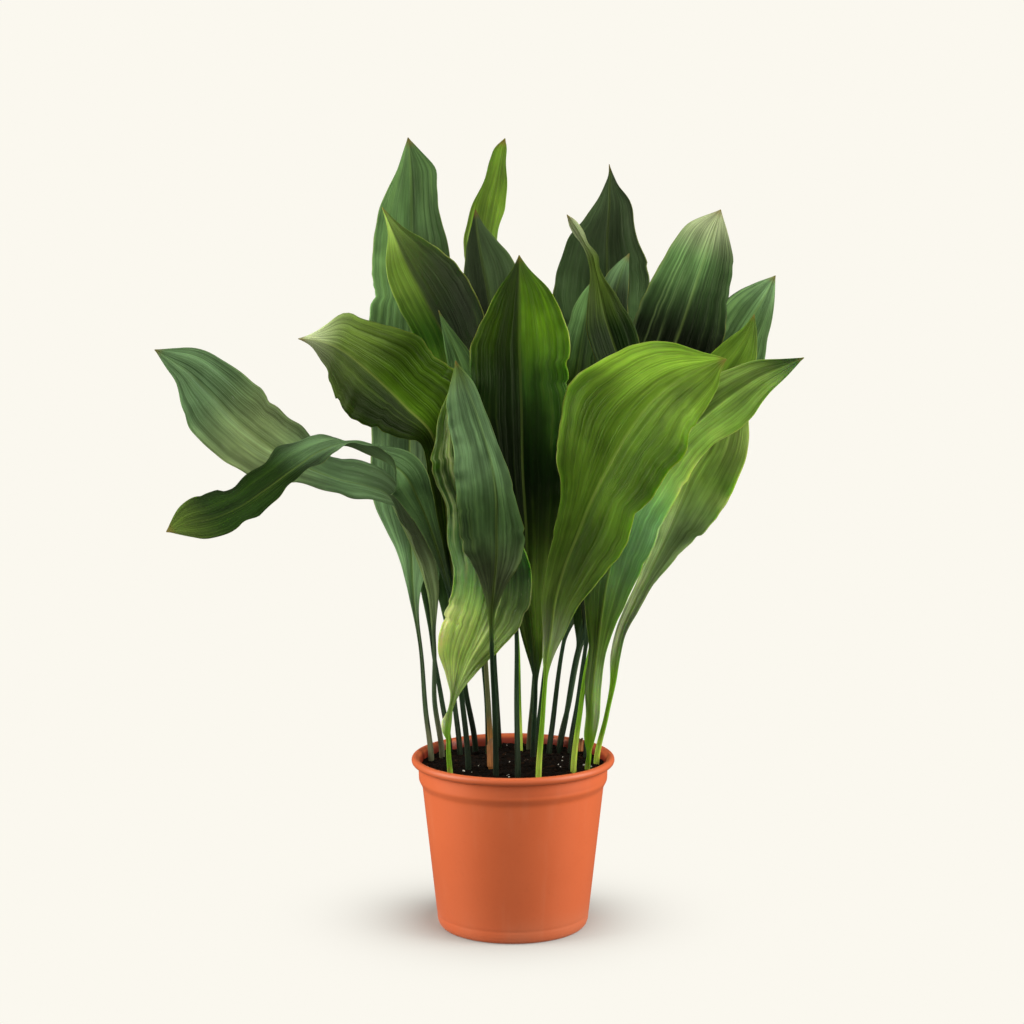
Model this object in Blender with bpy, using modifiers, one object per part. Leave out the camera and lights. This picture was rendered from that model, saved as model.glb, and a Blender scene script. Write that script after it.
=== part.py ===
"""Potted cast iron plant (Aspidistra).

A clump of long pointed leaves, each on its own stalk, stands in a round moulded pot of terracotta-coloured
plastic. Metres, +Z up. The origin is the centre of the pot's underside, and -Y is the front.
"""
import math

import bmesh
import bpy
import numpy as np

# ---- driving dimensions -----------------------------------------------------------------------------
POT_HEIGHT = 0.146
RIM_RADIUS = 0.085          # outside of the rounded rim
COLLAR_RADIUS = 0.0792      # straight band under the rim
BODY_TOP_RADIUS = 0.0757    # under the step
BODY_LOW_RADIUS = 0.0637    # where the bottom edge starts to round
FOOT_RADIUS = 0.0585        # where the pot meets the table
WALL = 0.0018
FLOOR = 0.0025
DRAIN_COUNT = 8
DRAIN_RADIUS = 0.0048
DRAIN_CIRCLE = 0.043
SOIL_TOP = 0.139
SOIL_BOTTOM = 0.004
FIT_GAP = 0.0003            # between pieces that touch
STALK_FOOT_RADIUS = 0.0026
STALK_NECK_RADIUS = 0.0017  # where the stalk widens into the blade
BLADE_THICKNESS = 0.0012
FOOT_BOTTOM = 0.125         # the stalks stand this deep in the soil
SOCKET_RADIUS = 0.0041
ROOTSTOCK_RADIUS = 0.0045
ROOTSTOCK_HEIGHT = 0.114
SHEATH_HEIGHT = 0.026
RING = 8                    # points round a leaf's section
STALK_STEPS = 5
BLADE_STEPS = 17

# ---- the leaves -------------------------------------------------------------------------------------
# All in millimetres. "stalk": points the stalk passes, from the soil up. "blade": points of the midrib with
# how far the blade reaches to its left and to its right there. "face": the way the blade looks at its base,
# on its length and at its tip. "fold": degrees by which the two halves rise from flat, base to tip.
LEAVES = {
    "leaf_tall_left": {
        "green": "grey",
        "stalk": [(-69, 16, 139), (-74, 30, 178)],
        "blade": [
            (-78, 40, 227, 0, 0), (-84, 46, 269, 3, 6), (-86, 54, 308, 12, 24),
            (-87, 62, 350, 31, 36), (-88, 74, 403, 32, 37), (-87, 88, 461, 34, 38),
            (-87, 102, 520, 35, 38), (-87, 112, 562, 33, 33), (-87, 118, 591, 29, 26),
            (-87, 122, 612, 21, 23), (-88, 126, 631, 11, 21), (-89, 128, 646, 5, 9),
            (-90, 130, 657, 0, 0)],
        "face": [(-0.3, -1, 0), (-0.15, -1, 0), (-0.1, -1, 0.1)],
        "fold": [25, 12, 6]},
    "leaf_folded_left": {
        "green": "deep",
        "stalk": [(-21, 38, 139), (-22, 26, 183)],
        "blade": [
            (-26, 24, 231, 0, 0), (-30, 24, 290, 12, 15), (-35, 22, 367, 22, 32),
            (-42, 28, 438, 26, 54), (-55, 28, 489, 25, 56), (-74, 24, 528, 24, 53),
            (-89, 20, 557, 18, 36), (-99, 15, 582, 4, 12), (-107, 10, 602, 0, 0)],
        "face": [(0.2, -1, 0), (0.25, -1, 0), (0.3, -1, 0)],
        "fold": [-25, -38, -30]},
    "leaf_left_olive": {
        "green": "olive",
        "stalk": [(-32, 44, 139), (-40, 26, 196)],
        "blade": [
            (-48, 12, 276, 0, 0), (-53, 0, 328, 7, 13), (-57, -14, 376, 12, 30),
            (-67, -30, 422, 13, 47), (-85, -46, 443, 27, 48), (-102, -60, 462, 38, 46),
            (-120, -74, 480, 41, 40), (-135, -86, 493, 30, 30), (-141, -90, 497, 25, 28),
            (-148, -94, 500, 18, 17), (-158, -99, 503, 7, 5), (-168, -104, 504, 0, 0)],
        "face": [(-0.3, -1, 0), (-0.2, -1, 0.2), (-0.1, -1, 0.5), (0, -1, 0.4)],
        "fold": [24, 14, 8]},
    "leaf_far_left_upper": {
        "green": "blue",
        "stalk": [(-60, 26, 139), (-66, 18, 189)],
        "blade": [
            (-66, 18, 236, 0, 0), (-71, 18, 283, 12, 12), (-83, 17, 319, 18, 18),
            (-96, 14, 347, 28, 22), (-106, 10, 365, 34, 24), (-122, 4, 372, 39, 28),
            (-143, -2, 378, 40, 32), (-170, -12, 391, 34, 34), (-197, -21, 409, 47, 34),
            (-223, -30, 430, 39, 33), (-250, -40, 460, 30, 28), (-263, -45, 473, 17, 22),
            (-275, -50, 482, 8, 12), (-287, -54, 491, 0, 0)],
        "face": [(1, -0.5, 0), (0.9, -0.25, 0.6), (0.2, -0.35, 1), (0.1, -1, 0.8), (0.1, -1, 0.5)],
        "fold": [30, 12, 6]},
    "leaf_far_left_lower": {
        "green": "olive",
        "stalk": [(-37, -22, 139), (-43, -26, 207)],
        "blade": [
            (-51, -34, 284, 0, 0), (-59, -38, 318, 4, 4), (-69, -44, 350, 9, 9),
            (-77, -49, 370, 15, 14), (-85, -55, 387, 19, 17), (-99, -63, 400, 21, 19),
            (-116, -73, 409, 26, 26), (-135, -85, 418, 27, 27), (-153, -96, 414, 29, 29),
            (-171, -108, 403, 31, 31), (-192, -120, 388, 33, 33), (-214, -133, 374, 34, 33),
            (-233, -142, 367, 31, 31), (-252, -149, 364, 22, 21), (-268, -154, 359, 0, 0)],
        "face": [(0, -1, 0), (-0.3, -1, 0.4), (-0.15, -0.1, 1), (-0.35, -0.35, 0.9), (-0.4, -0.6, 0.7)],
        "fold": [20, 12, 6]},
    "leaf_centre_bright": {
        "green": "fresh",
        "stalk": [(17, 24, 139), (18, 14, 173)],
        "blade": [
            (19, 10, 199, 0, 0), (17, 4, 243, 9, 11), (13, -2, 286, 17, 21), (11, -8, 338, 27, 30),
            (8, -11, 388, 37, 38), (7, -10, 438, 43, 41), (6, -7, 466, 43, 41), (5, -3, 494, 38, 41),
            (5, 1, 515, 28, 36), (5, 5, 535, 17, 25), (5, 9, 551, 6, 9), (5, 12, 563, 0, 0)],
        "face": [(0, -1, 0), (0, -1, 0.1), (0, -1, -0.1)],
        "fold": [22, 10, 8]},
    "leaf_front_left": {
        "green": "grey",
        "stalk": [(-14, -43, 139), (-15, -62, 198)],
        "blade": [
            (-17, -86, 252, 0, 0), (-17, -94, 285, 3, 3), (-15, -100, 308, 11, 10),
            (-13, -106, 333, 24, 20), (-13, -110, 357, 30, 23), (-13, -112, 378, 32, 16),
            (-16, -113, 402, 30, 12), (-22, -113, 425, 26, 9), (-29, -112, 447, 24, 8),
            (-36, -110, 466, 16, 7), (-45, -107, 487, 0, 0)],
        "face": [(0, -1, 0), (-0.1, -1, 0), (-0.2, -1, 0.1)],
        "fold": [20, 10, 6]},
    "leaf_front_left_bright": {
        "green": "fresh",
        "stalk": [(-52, -36, 139), (-53, -42, 158)],
        "blade": [
            (-53, -45, 168, 0, 0), (-53, -47, 176, 5, 1), (-52, -49, 185, 6, 1), (-51, -52, 195, 2, 1),
            (-48, -57, 210, 3, 4), (-45, -60, 223, 10, 9), (-40, -64, 240, 21, 16), (-30, -71, 266, 29, 27),
            (-23, -76, 291, 27, 36), (-21, -80, 316, 27, 36), (-22, -82, 341, 30, 29),
            (-23, -84, 366, 30, 24), (-26, -85, 394, 36, 20), (-30, -85, 419, 35, 15),
            (-36, -84, 442, 25, 10), (-40, -82, 461, 12, 7), (-44, -80, 480, 0, 0)],
        "face": [(-0.2, -1, 0), (0, -1, 0), (-0.2, -1, 0.1)],
        "fold": [12, 6, 6]},
    "leaf_front_right_broad": {
        "green": "fresh",
        "stalk": [(21, -49, 139), (24, -64, 190)],
        "blade": [
            (26, -70, 221, 0, 0), (28, -76, 246, 4, 5), (31, -81, 268, 7, 12),
            (34, -87, 293, 11, 20), (41, -94, 321, 14, 30), (51, -100, 348, 19, 38),
            (62, -107, 377, 28, 40), (75, -114, 404, 46, 43), (89, -122, 430, 59, 46),
            (108, -130, 457, 52, 46), (133, -138, 478, 30, 35), (148, -142, 486, 13, 24),
            (157, -144, 490, 5, 12), (164, -146, 492, 0, 0)],
        "face": [(-0.3, -1, 0.1), (-0.1, -1, 0.3), (0, -1, 0.6), (0, -1, 0.5)],
        "fold": [16, 8, 4]},
    "leaf_right_upper": {
        "green": "fresh",
        "stalk": [(62, -18, 139), (63, -26, 152)],
        "blade": [
            (63, -28, 163, 4, 4), (64, -31, 187, 4, 9), (66, -35, 215, 7, 9), (69, -40, 242, 7, 9),
            (72, -44, 269, 13, 15), (76, -49, 299, 21, 24), (83, -55, 333, 26, 30),
            (97, -63, 371, 29, 33), (119, -73, 406, 30, 29), (146, -84, 435, 27, 23),
            (172, -94, 458, 21, 25), (194, -102, 474, 14, 17), (212, -108, 483, 6, 9),
            (227, -113, 490, 0, 0)],
        "face": [(-0.6, -1, 0), (-0.3, -1, 0.2), (0.1, -1, 0.5)],
        "fold": [16, 10, 4]},
    "leaf_right_lower": {
        "green": "fresh",
        "stalk": [(70, 1, 139), (78, -6, 181)],
        "blade": [
            (83, -10, 209, 2, 2), (86, -13, 233, 5, 3), (90, -16, 254, 5, 4), (100, -20, 278, 6, 6),
            (111, -24, 302, 7, 8), (122, -29, 326, 9, 15), (134, -35, 355, 17, 27),
            (147, -41, 385, 27, 33), (162, -47, 412, 29, 28), (172, -52, 440, 20, 19),
            (178, -57, 457, 10, 10), (182, -61, 470, 0, 0)],
        "face": [(-0.3, -1, 0), (0, -1, 0.2), (0.1, -1, 0.3)],
        "fold": [16, 8, 4]},
    "leaf_right_light_tip": {
        "green": "deep",
        "stalk": [(40, 44, 139), (45, 45, 167)],
        "blade": [
            (55, 48, 226, 0, 0), (64, 48, 256, 14, 9), (73, 48, 286, 19, 19), (84, 49, 320, 26, 26),
            (97, 53, 367, 31, 30), (114, 59, 417, 36, 35), (131, 67, 467, 39, 38),
            (145, 74, 506, 40, 36), (156, 80, 538, 36, 29), (164, 85, 561, 30, 24),
            (170, 88, 579, 22, 13), (176, 92, 597, 0, 0)],
        "face": [(-0.3, -1, 0), (-0.1, -1, 0.1), (0, -1, 0.1)],
        "fold": [20, 12, 8]},
    "leaf_right_back_grey": {
        "green": "grey",
        "stalk": [(40, 58, 139), (48, 73, 173)],
        "blade": [
            (58, 92, 217, 0, 0), (85, 116, 283, 19, 18), (121, 126, 361, 29, 26),
            (163, 132, 431, 33, 30), (192, 128, 479, 29, 29), (207, 134, 502, 27, 19),
            (218, 139, 520, 18, 10), (228, 144, 538, 0, 0)],
        "face": [(-0.1, -1, 0), (0.1, -1, 0.1), (0, -1, 0.1)],
        "fold": [20, 10, 6]},
    "leaf_right_bright": {
        "green": "fresh",
        "stalk": [(50, -29, 139), (55, -34, 188)],
        "blade": [
            (63, -22, 236, 0, 0), (77, -16, 281, 10, 10), (100, -8, 338, 18, 18),
            (128, 2, 395, 23, 23), (157, 12, 443, 25, 25), (176, 18, 473, 15, 25),
            (188, 22, 488, 11, 17), (195, 25, 499, 6, 8), (200, 28, 513, 0, 0)],
        "face": [(-0.1, -1, 0.1), (0, -1, 0.2), (0.1, -1, 0.1)],
        "fold": [16, 8, 6]},
    "leaf_back_dark": {
        "green": "dark",
        "stalk": [(31, 42, 139), (34, 48, 163)],
        "blade": [
            (43, 64, 227, 0, 0), (58, 80, 285, 18, 18), (70, 94, 357, 30, 30),
            (77, 104, 425, 36, 37), (80, 110, 485, 42, 39), (81, 119, 527, 45, 36),
            (81, 124, 551, 42, 34), (81, 128, 569, 35, 27), (82, 131, 586, 21, 23),
            (83, 134, 601, 12, 19), (83, 137, 614, 5, 10), (84, 139, 624, 2, 3),
            (83, 141, 634, 0, 0)],
        "face": [(0, -1, 0), (-0.1, -1, 0), (0.1, -1, 0)],
        "fold": [20, 10, 8]},
    "leaf_right_folded": {
        "green": "olive",
        "stalk": [(49, -18, 139), (55, -12, 192)],
        "blade": [
            (60, -6, 237, 0, 0), (66, 6, 277, 10, 10), (74, 16, 334, 17, 18), (81, 23, 392, 20, 21),
            (86, 26, 434, 21, 21), (89, 27, 462, 21, 21), (87, 27, 478, 22, 21),
            (83, 26, 490, 22, 21), (76, 24, 512, 19, 18), (72, 22, 532, 11, 11),
            (70, 21, 543, 7, 6), (68, 20, 552, 5, 4), (66, 18, 561, 5, 5),
            (60, 15, 571, 3, 3), (53, 11, 584, 5, 5), (49, 9, 590, 4, 4), (44, 8, 596, 0, 0)],
        "face": [(0, -1, 0), (0, -1, 0), (0, -1, 0), (0.1, -1, 0), (0.2, -1, 0), (0.3, -1, 0),
                 (0.35, -1, 0), (-0.3, -1, 0.1), (-0.6, -0.8, 0.2)],
        "fold": [12, 10, 14, 20]},
    "leaf_back_yellow_edge": {
        "green": "grey",
        "stalk": [(20, 47, 139), (24, 49, 178)],
        "blade": [
            (29, 52, 221, 0, 0), (43, 54, 294, 13, 12), (58, 58, 370, 19, 17), (71, 62, 438, 22, 20),
            (79, 66, 493, 22, 19), (85, 68, 522, 17, 12), (90, 69, 541, 12, 8), (94, 70, 553, 5, 4),
            (98, 71, 561, 0, 0)],
        "face": [(0, -1, 0), (0.2, -1, 0), (0.2, -1, 0)],
        "fold": [20, 10, 8]},
    "leaf_back_grey": {
        "green": "grey",
        "stalk": [(14, 58, 139), (17, 52, 182)],
        "blade": [
            (20, 46, 226, 0, 0), (29, 44, 296, 12, 12), (39, 43, 364, 19, 20), (48, 43, 432, 22, 22),
            (54, 43, 470, 18, 19), (59, 44, 499, 14, 16), (63, 45, 519, 11, 10), (65, 45, 532, 5, 5),
            (67, 46, 540, 0, 0)],
        "face": [(0, -1, 0), (-0.2, -1, 0), (-0.2, -1, 0)],
        "fold": [20, 10, 8]},
    "leaf_tall_centre": {
        "green": "fresh",
        "stalk": [(6, 48, 139), (5, 56, 180)],
        "blade": [
            (4, 66, 227, 0, 0), (-6, 88, 306, 11, 18), (-16, 108, 390, 17, 25),
            (-25, 122, 466, 17, 24), (-29, 130, 518, 17, 25), (-28, 136, 554, 17, 25),
            (-25, 138, 575, 18, 21), (-21, 142, 601, 16, 23), (-16, 145, 620, 11, 17),
            (-12, 147, 637, 10, 10), (-9, 149, 649, 7, 6), (-7, 151, 656, 0, 0)],
        "face": [(-0.6, -0.8, 0), (-0.6, -0.8, 0), (-0.7, -0.7, 0)],
        "fold": [20, 12, 8]},
    "leaf_centre_dark": {
        "green": "dark",
        "stalk": [(4, -46, 139), (3, -21, 197)],
        "blade": [
            (3, 0, 244, 0, 0), (0, 34, 306, 13, 12), (-6, 68, 378, 22, 21), (-13, 84, 444, 27, 26),
            (-20, 96, 516, 24, 28), (-26, 100, 550, 16, 27), (-29, 102, 568, 11, 16),
            (-31, 104, 582, 5, 7), (-32, 106, 597, 0, 0)],
        "face": [(0.1, -1, 0), (0.1, -1, 0), (0.2, -1, 0)],
        "fold": [20, 14, 8]},
    "leaf_left_teal_tip": {
        "green": "blue",
        "stalk": [(-18, -18, 139), (-20, -16, 185)],
        "blade": [
            (-23, -14, 242, 0, 0), (-23, -4, 304, 8, 10), (-26, 4, 369, 13, 15),
            (-32, 8, 427, 15, 16), (-40, 8, 465, 12, 14), (-50, 6, 491, 7, 8), (-57, 5, 506, 2, 4),
            (-61, 4, 518, 0, 0)],
        "face": [(-0.2, -1, 0), (-0.2, -1, 0), (-0.2, -1, 0)],
        "fold": [20, 14, 8]},
    "leaf_rear_left": {
        "green": "deep",
        "stalk": [(-54, 45, 139), (-61, 56, 181)],
        "blade": [
            (-69, 68, 226, 0, 0), (-73, 90, 288, 11, 11), (-81, 122, 362, 23, 24),
            (-88, 150, 429, 29, 29), (-91, 172, 488, 25, 25), (-90, 186, 531, 14, 14),
            (-88, 196, 566, 0, 0)],
        "face": [(0, -1, 0), (0, -1, 0.1), (0, -1, 0.3)],
        "fold": [20, 14, 8]},
    "leaf_rear_low_left": {
        "green": "deep",
        "stalk": [(-45, 30, 139), (-50, 46, 183)],
        "blade": [
            (-54, 60, 224, 0, 0), (-54, 88, 271, 13, 13), (-58, 128, 317, 24, 23),
            (-65, 170, 355, 30, 29), (-73, 212, 381, 29, 27), (-81, 248, 395, 19, 17),
            (-89, 280, 401, 0, 0)],
        "face": [(0, -1, 0), (0, -1, 0.6), (0, -0.7, 1)],
        "fold": [20, 14, 8]},
    "leaf_rear_centre": {
        "green": "deep",
        "stalk": [(-12, 60, 139), (-14, 69, 179)],
        "blade": [
            (-16, 80, 224, 0, 0), (-11, 108, 276, 13, 13), (-4, 140, 333, 25, 25),
            (2, 170, 391, 31, 31), (5, 192, 442, 29, 29), (6, 208, 490, 16, 16), (6, 218, 525, 0, 0)],
        "face": [(0, -1, 0), (0, -1, 0.1), (0, -1, 0.3)],
        "fold": [20, 14, 8]},
    "leaf_rear_right": {
        "green": "deep",
        "stalk": [(49, 37, 139), (56, 72, 176)],
        "blade": [
            (64, 112, 218, 0, 0), (77, 138, 271, 13, 13), (95, 162, 330, 26, 25),
            (113, 182, 390, 31, 31), (131, 196, 442, 27, 27), (146, 206, 486, 16, 16),
            (157, 214, 521, 0, 0)],
        "face": [(0, -1, 0), (0, -1, 0.1), (0, -1, 0.3)],
        "fold": [20, 14, 8]},
    "leaf_rear_low_right": {
        "green": "deep",
        "stalk": [(62, 28, 139), (68, 66, 175)],
        "blade": [
            (75, 112, 218, 0, 0), (88, 165, 257, 13, 13), (104, 210, 300, 26, 27),
            (122, 248, 335, 33, 36), (138, 276, 361, 32, 35), (150, 296, 378, 18, 20),
            (160, 310, 385, 0, 0)],
        "face": [(0, -1, 0), (0, -1, 0.6), (0, -0.7, 1)],
        "fold": [20, 14, 8]},}

# colour, roughness, metallic
FINISHES = {
    "terracotta_plastic": ((0.66, 0.165, 0.062), 0.5, 0.0),
    "potting_soil": ((0.018, 0.011, 0.007), 0.95, 0.0),
    "rootstock": ((0.22, 0.15, 0.07), 0.8, 0.0),
    "dry_sheath": ((0.42, 0.17, 0.05), 0.7, 0.0),
    "leaf_grey": ((0.075, 0.150, 0.060), 0.38, 0.0),
    "leaf_deep": ((0.030, 0.085, 0.020), 0.35, 0.0),
    "leaf_olive": ((0.075, 0.120, 0.020), 0.38, 0.0),
    "leaf_blue": ((0.055, 0.140, 0.065), 0.38, 0.0),
    "leaf_fresh": ((0.110, 0.270, 0.025), 0.35, 0.0),
    "leaf_dark": ((0.020, 0.045, 0.018), 0.38, 0.0),
}


def clear_scene():
    for item in list(bpy.data.objects):
        bpy.data.objects.remove(item, do_unlink=True)


def new_collection(name):
    group = bpy.data.collections.new(name)
    bpy.context.scene.collection.children.link(group)
    return group


def finish(name):
    """A Principled material with the finish's colour, roughness and metallic value."""
    material = bpy.data.materials.get(name)
    if material is None:
        colour, roughness, metallic = FINISHES[name]
        material = bpy.data.materials.new(name)
        material.use_nodes = True
        shader = material.node_tree.nodes["Principled BSDF"]
        shader.inputs["Base Color"].default_value = (*colour, 1.0)
        shader.inputs["Roughness"].default_value = roughness
        shader.inputs["Metallic"].default_value = metallic
    return material


def add_mesh(name, vertices, faces, group, finish_name=None, smooth=False):
    mesh = bpy.data.meshes.new(name)
    mesh.from_pydata([tuple(map(float, v)) for v in vertices], [], [tuple(map(int, f)) for f in faces])
    mesh.update()
    if smooth:
        mesh.shade_smooth()
    item = bpy.data.objects.new(name, mesh)
    group.objects.link(item)
    if finish_name:
        mesh.materials.append(finish(finish_name))
    return item


def make_cutter(item):
    item.hide_render = True
    item.display_type = "WIRE"
    return item


def turned(name, profile, steps, group, finish_name=None, sharp=35):
    """A profile of (radius, height) pairs, down its outer side, turned about Z."""
    item = add_mesh(name, [(r, 0.0, z) for r, z in profile],
                    [], group, finish_name)
    mesh = item.data
    mesh.edges.add(len(profile) - 1)
    mesh.edges.foreach_set("vertices", [i for k in range(len(profile) - 1) for i in (k, k + 1)])
    screw = item.modifiers.new("Turn", "SCREW")
    screw.steps = steps
    screw.render_steps = steps
    screw.use_merge_vertices = True
    screw.merge_threshold = 0.00001
    screw.use_smooth_shade = True
    item["sharp_angle"] = sharp
    return item


def as_mesh(item):
    """Replace an object's modifiers or curve by the mesh they give."""
    graph = bpy.context.evaluated_depsgraph_get()
    mesh = bpy.data.meshes.new_from_object(item.evaluated_get(graph))
    baked = bpy.data.objects.new(item.name + "_mesh", mesh)
    baked.matrix_world = item.matrix_world
    for group in item.users_collection:
        group.objects.link(baked)
    name = item.name
    bpy.data.objects.remove(item, do_unlink=True)
    baked.name = name
    work = bmesh.new()
    work.from_mesh(mesh)
    bmesh.ops.remove_doubles(work, verts=work.verts, dist=0.00001)
    bmesh.ops.recalc_face_normals(work, faces=work.faces)
    work.to_mesh(mesh)
    work.free()
    return baked


def cylinder(name, radius, bottom, top, x, y, sides, group):
    """An upright cylinder between two heights."""
    work = bmesh.new()
    bmesh.ops.create_cone(work, cap_ends=True, segments=sides, radius1=radius, radius2=radius,
                          depth=top - bottom)
    mesh = bpy.data.meshes.new(name)
    work.to_mesh(mesh)
    work.free()
    item = bpy.data.objects.new(name, mesh)
    item.location = (x, y, (bottom + top) / 2)
    group.objects.link(item)
    return item


def cut(item, cutters):
    """Cut every object of the collection out of the item."""
    boolean = item.modifiers.new("Cut", "BOOLEAN")
    boolean.operation = "DIFFERENCE"
    boolean.operand_type = "COLLECTION"
    boolean.collection = cutters
    boolean.solver = "EXACT"


# ---- pot --------------------------------------------------------------------------------------------
def wall_radius(z):
    """Outside radius of the tapering body at a height."""
    share = (z - 0.010) / (0.1185 - 0.010)
    return BODY_LOW_RADIUS + (BODY_TOP_RADIUS - BODY_LOW_RADIUS) * share


def build_pot(parts, cutters):
    """A bead rim, a collar, a step and a tapering body with a rounded bottom edge, open at the top."""
    bead_middle = POT_HEIGHT - 0.0035
    bead_outer = [(RIM_RADIUS - 0.0032 + 0.0032 * math.cos(a), bead_middle + 0.0035 * math.sin(a))
                  for a in np.radians([150, 120, 90, 60, 30, 0, -30, -60, -80])]
    outside = bead_outer + [
        (COLLAR_RADIUS, POT_HEIGHT - 0.0074),
        (COLLAR_RADIUS - 0.0004, 0.1262),
        (COLLAR_RADIUS - 0.0009, 0.1246),
        (BODY_TOP_RADIUS + 0.0004, 0.1205),
        (BODY_TOP_RADIUS, 0.1185),
        (wall_radius(0.012), 0.012),
        (BODY_LOW_RADIUS + 0.0002, 0.0105),
        (BODY_LOW_RADIUS - 0.0006, 0.0055),
        (BODY_LOW_RADIUS - 0.0022, 0.0020),
        (FOOT_RADIUS, 0.0),
        (0.0, 0.0)]
    inside = [
        (0.0, FLOOR),
        (FOOT_RADIUS - 0.0020, FLOOR),
        (BODY_LOW_RADIUS - WALL, 0.0095),
        (BODY_TOP_RADIUS - WALL, 0.1190),
        (COLLAR_RADIUS - 0.0004 - WALL, 0.1265),
        (COLLAR_RADIUS - WALL + 0.0002, POT_HEIGHT - 0.0045)]
    pot = turned("pot", outside + inside + [outside[0]], 56, parts, "terracotta_plastic")
    pot = as_mesh(pot)
    for k in range(DRAIN_COUNT):
        angle = 2 * math.pi * (k + 0.5) / DRAIN_COUNT
        hole = cylinder(f"drain_{k + 1}", DRAIN_RADIUS, -0.003, 0.006,
                        DRAIN_CIRCLE * math.cos(angle), DRAIN_CIRCLE * math.sin(angle), 12, cutters)
        make_cutter(hole)
    cut(pot, cutters)
    return pot


# ---- soil and rootstock -----------------------------------------------------------------------------
def rootstock_points():
    """The creeping rootstock lies as a flat spiral: radius = 14 mm + 24 mm a turn, two turns and a bit."""
    turns = np.linspace(0.0, 2.05, 44)
    radius = 0.014 + 0.0240 * turns
    angle = 2 * math.pi * turns + 0.6
    height = ROOTSTOCK_HEIGHT + 0.0015 * np.sin(5 * angle)
    return np.stack([radius * np.cos(angle), radius * np.sin(angle), height], axis=1)


def rootstock_tube(name, radius, group, finish_name=None):
    curve = bpy.data.curves.new(name, "CURVE")
    curve.dimensions = "3D"
    curve.bevel_depth = radius
    curve.bevel_resolution = 2
    curve.use_fill_caps = True
    points = rootstock_points()
    spline = curve.splines.new("POLY")
    spline.points.add(len(points) - 1)
    for point, place in zip(spline.points, points):
        point.co = (*place, 1.0)
    item = bpy.data.objects.new(name, curve)
    group.objects.link(item)
    item = as_mesh(item)
    item.data.shade_smooth()
    if finish_name:
        item.data.materials.clear()
        item.data.materials.append(finish(finish_name))
    return item


def build_soil(parts, cutters):
    """The soil fills the pot, a little higher in the middle, with a socket for every stalk."""
    rim = COLLAR_RADIUS - 0.0004 - WALL - FIT_GAP
    profile = [(0.0, SOIL_TOP + 0.0012), (0.030, SOIL_TOP + 0.0009), (0.055, SOIL_TOP + 0.0002),
               (rim - 0.0035, SOIL_TOP - 0.0006), (rim, SOIL_TOP - 0.0014),
               (rim, 0.1268), (BODY_TOP_RADIUS - WALL - FIT_GAP, 0.1190),
               (BODY_LOW_RADIUS - WALL - FIT_GAP, 0.0099), (FOOT_RADIUS - 0.0030, SOIL_BOTTOM),
               (0.0, SOIL_BOTTOM)]
    soil = as_mesh(turned("soil", profile, 48, parts, "potting_soil"))
    make_cutter(rootstock_tube("rootstock_room", ROOTSTOCK_RADIUS + FIT_GAP, cutters))
    for name, leaf in LEAVES.items():
        x, y, _ = np.array(leaf["stalk"][0]) * 0.001
        socket = cylinder("socket_" + name, SOCKET_RADIUS, ROOTSTOCK_HEIGHT - 0.002, SOIL_TOP + 0.004,
                          x, y, 8, cutters)
        make_cutter(socket)
    cut(soil, cutters)
    return soil


# ---- leaves -----------------------------------------------------------------------------------------
def smooth(knots, values, at):
    """A smooth curve through the values: cubic pieces whose slopes are the central differences."""
    slope = np.gradient(values, knots, axis=0)
    k = np.clip(np.searchsorted(knots, at, side="right") - 1, 0, len(knots) - 2)
    span = (knots[k + 1] - knots[k])[:, None]
    f = (at - knots[k])[:, None] / span
    return (values[k] * (1 + 2 * f) * (1 - f) ** 2 + slope[k] * span * f * (1 - f) ** 2
            + values[k + 1] * f * f * (3 - 2 * f) - slope[k + 1] * span * f * f * (1 - f))


def eased(values, share):
    """Values at even stations, blended with an ease in and out between them."""
    values = np.asarray(values, dtype=float)
    if values.ndim == 1:
        values = values[:, None]
    place = share * (len(values) - 1)
    k = np.clip(place.astype(int), 0, len(values) - 2)
    f = np.clip(place - k, 0.0, 1.0)[:, None]
    f = f * f * (3 - 2 * f)
    return values[k] * (1 - f) + values[k + 1] * f


def unit(vectors):
    return vectors / np.linalg.norm(vectors, axis=1, keepdims=True)


def leaf_path(leaf):
    """The leaf's centre line from its foot to its tip, with the blade's reach left and right."""
    stalk = np.array(leaf["stalk"], dtype=float) * 0.001
    blade = np.array(leaf["blade"], dtype=float) * 0.001
    foot = stalk[0] * (1, 1, 0) + (0, 0, FOOT_BOTTOM)
    path = np.vstack([foot, stalk, blade[:, :3]])
    reach = np.vstack([np.zeros((len(stalk) + 1, 2)), blade[:, 3:]])
    knots = np.concatenate([[0.0], np.cumsum(np.linalg.norm(np.diff(path, axis=0), axis=1))])
    return knots, path, reach, knots[len(stalk) + 1]


def stalk_radius_at(share):
    return STALK_FOOT_RADIUS + (STALK_NECK_RADIUS - STALK_FOOT_RADIUS) * np.clip(share, 0, 1)


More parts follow.
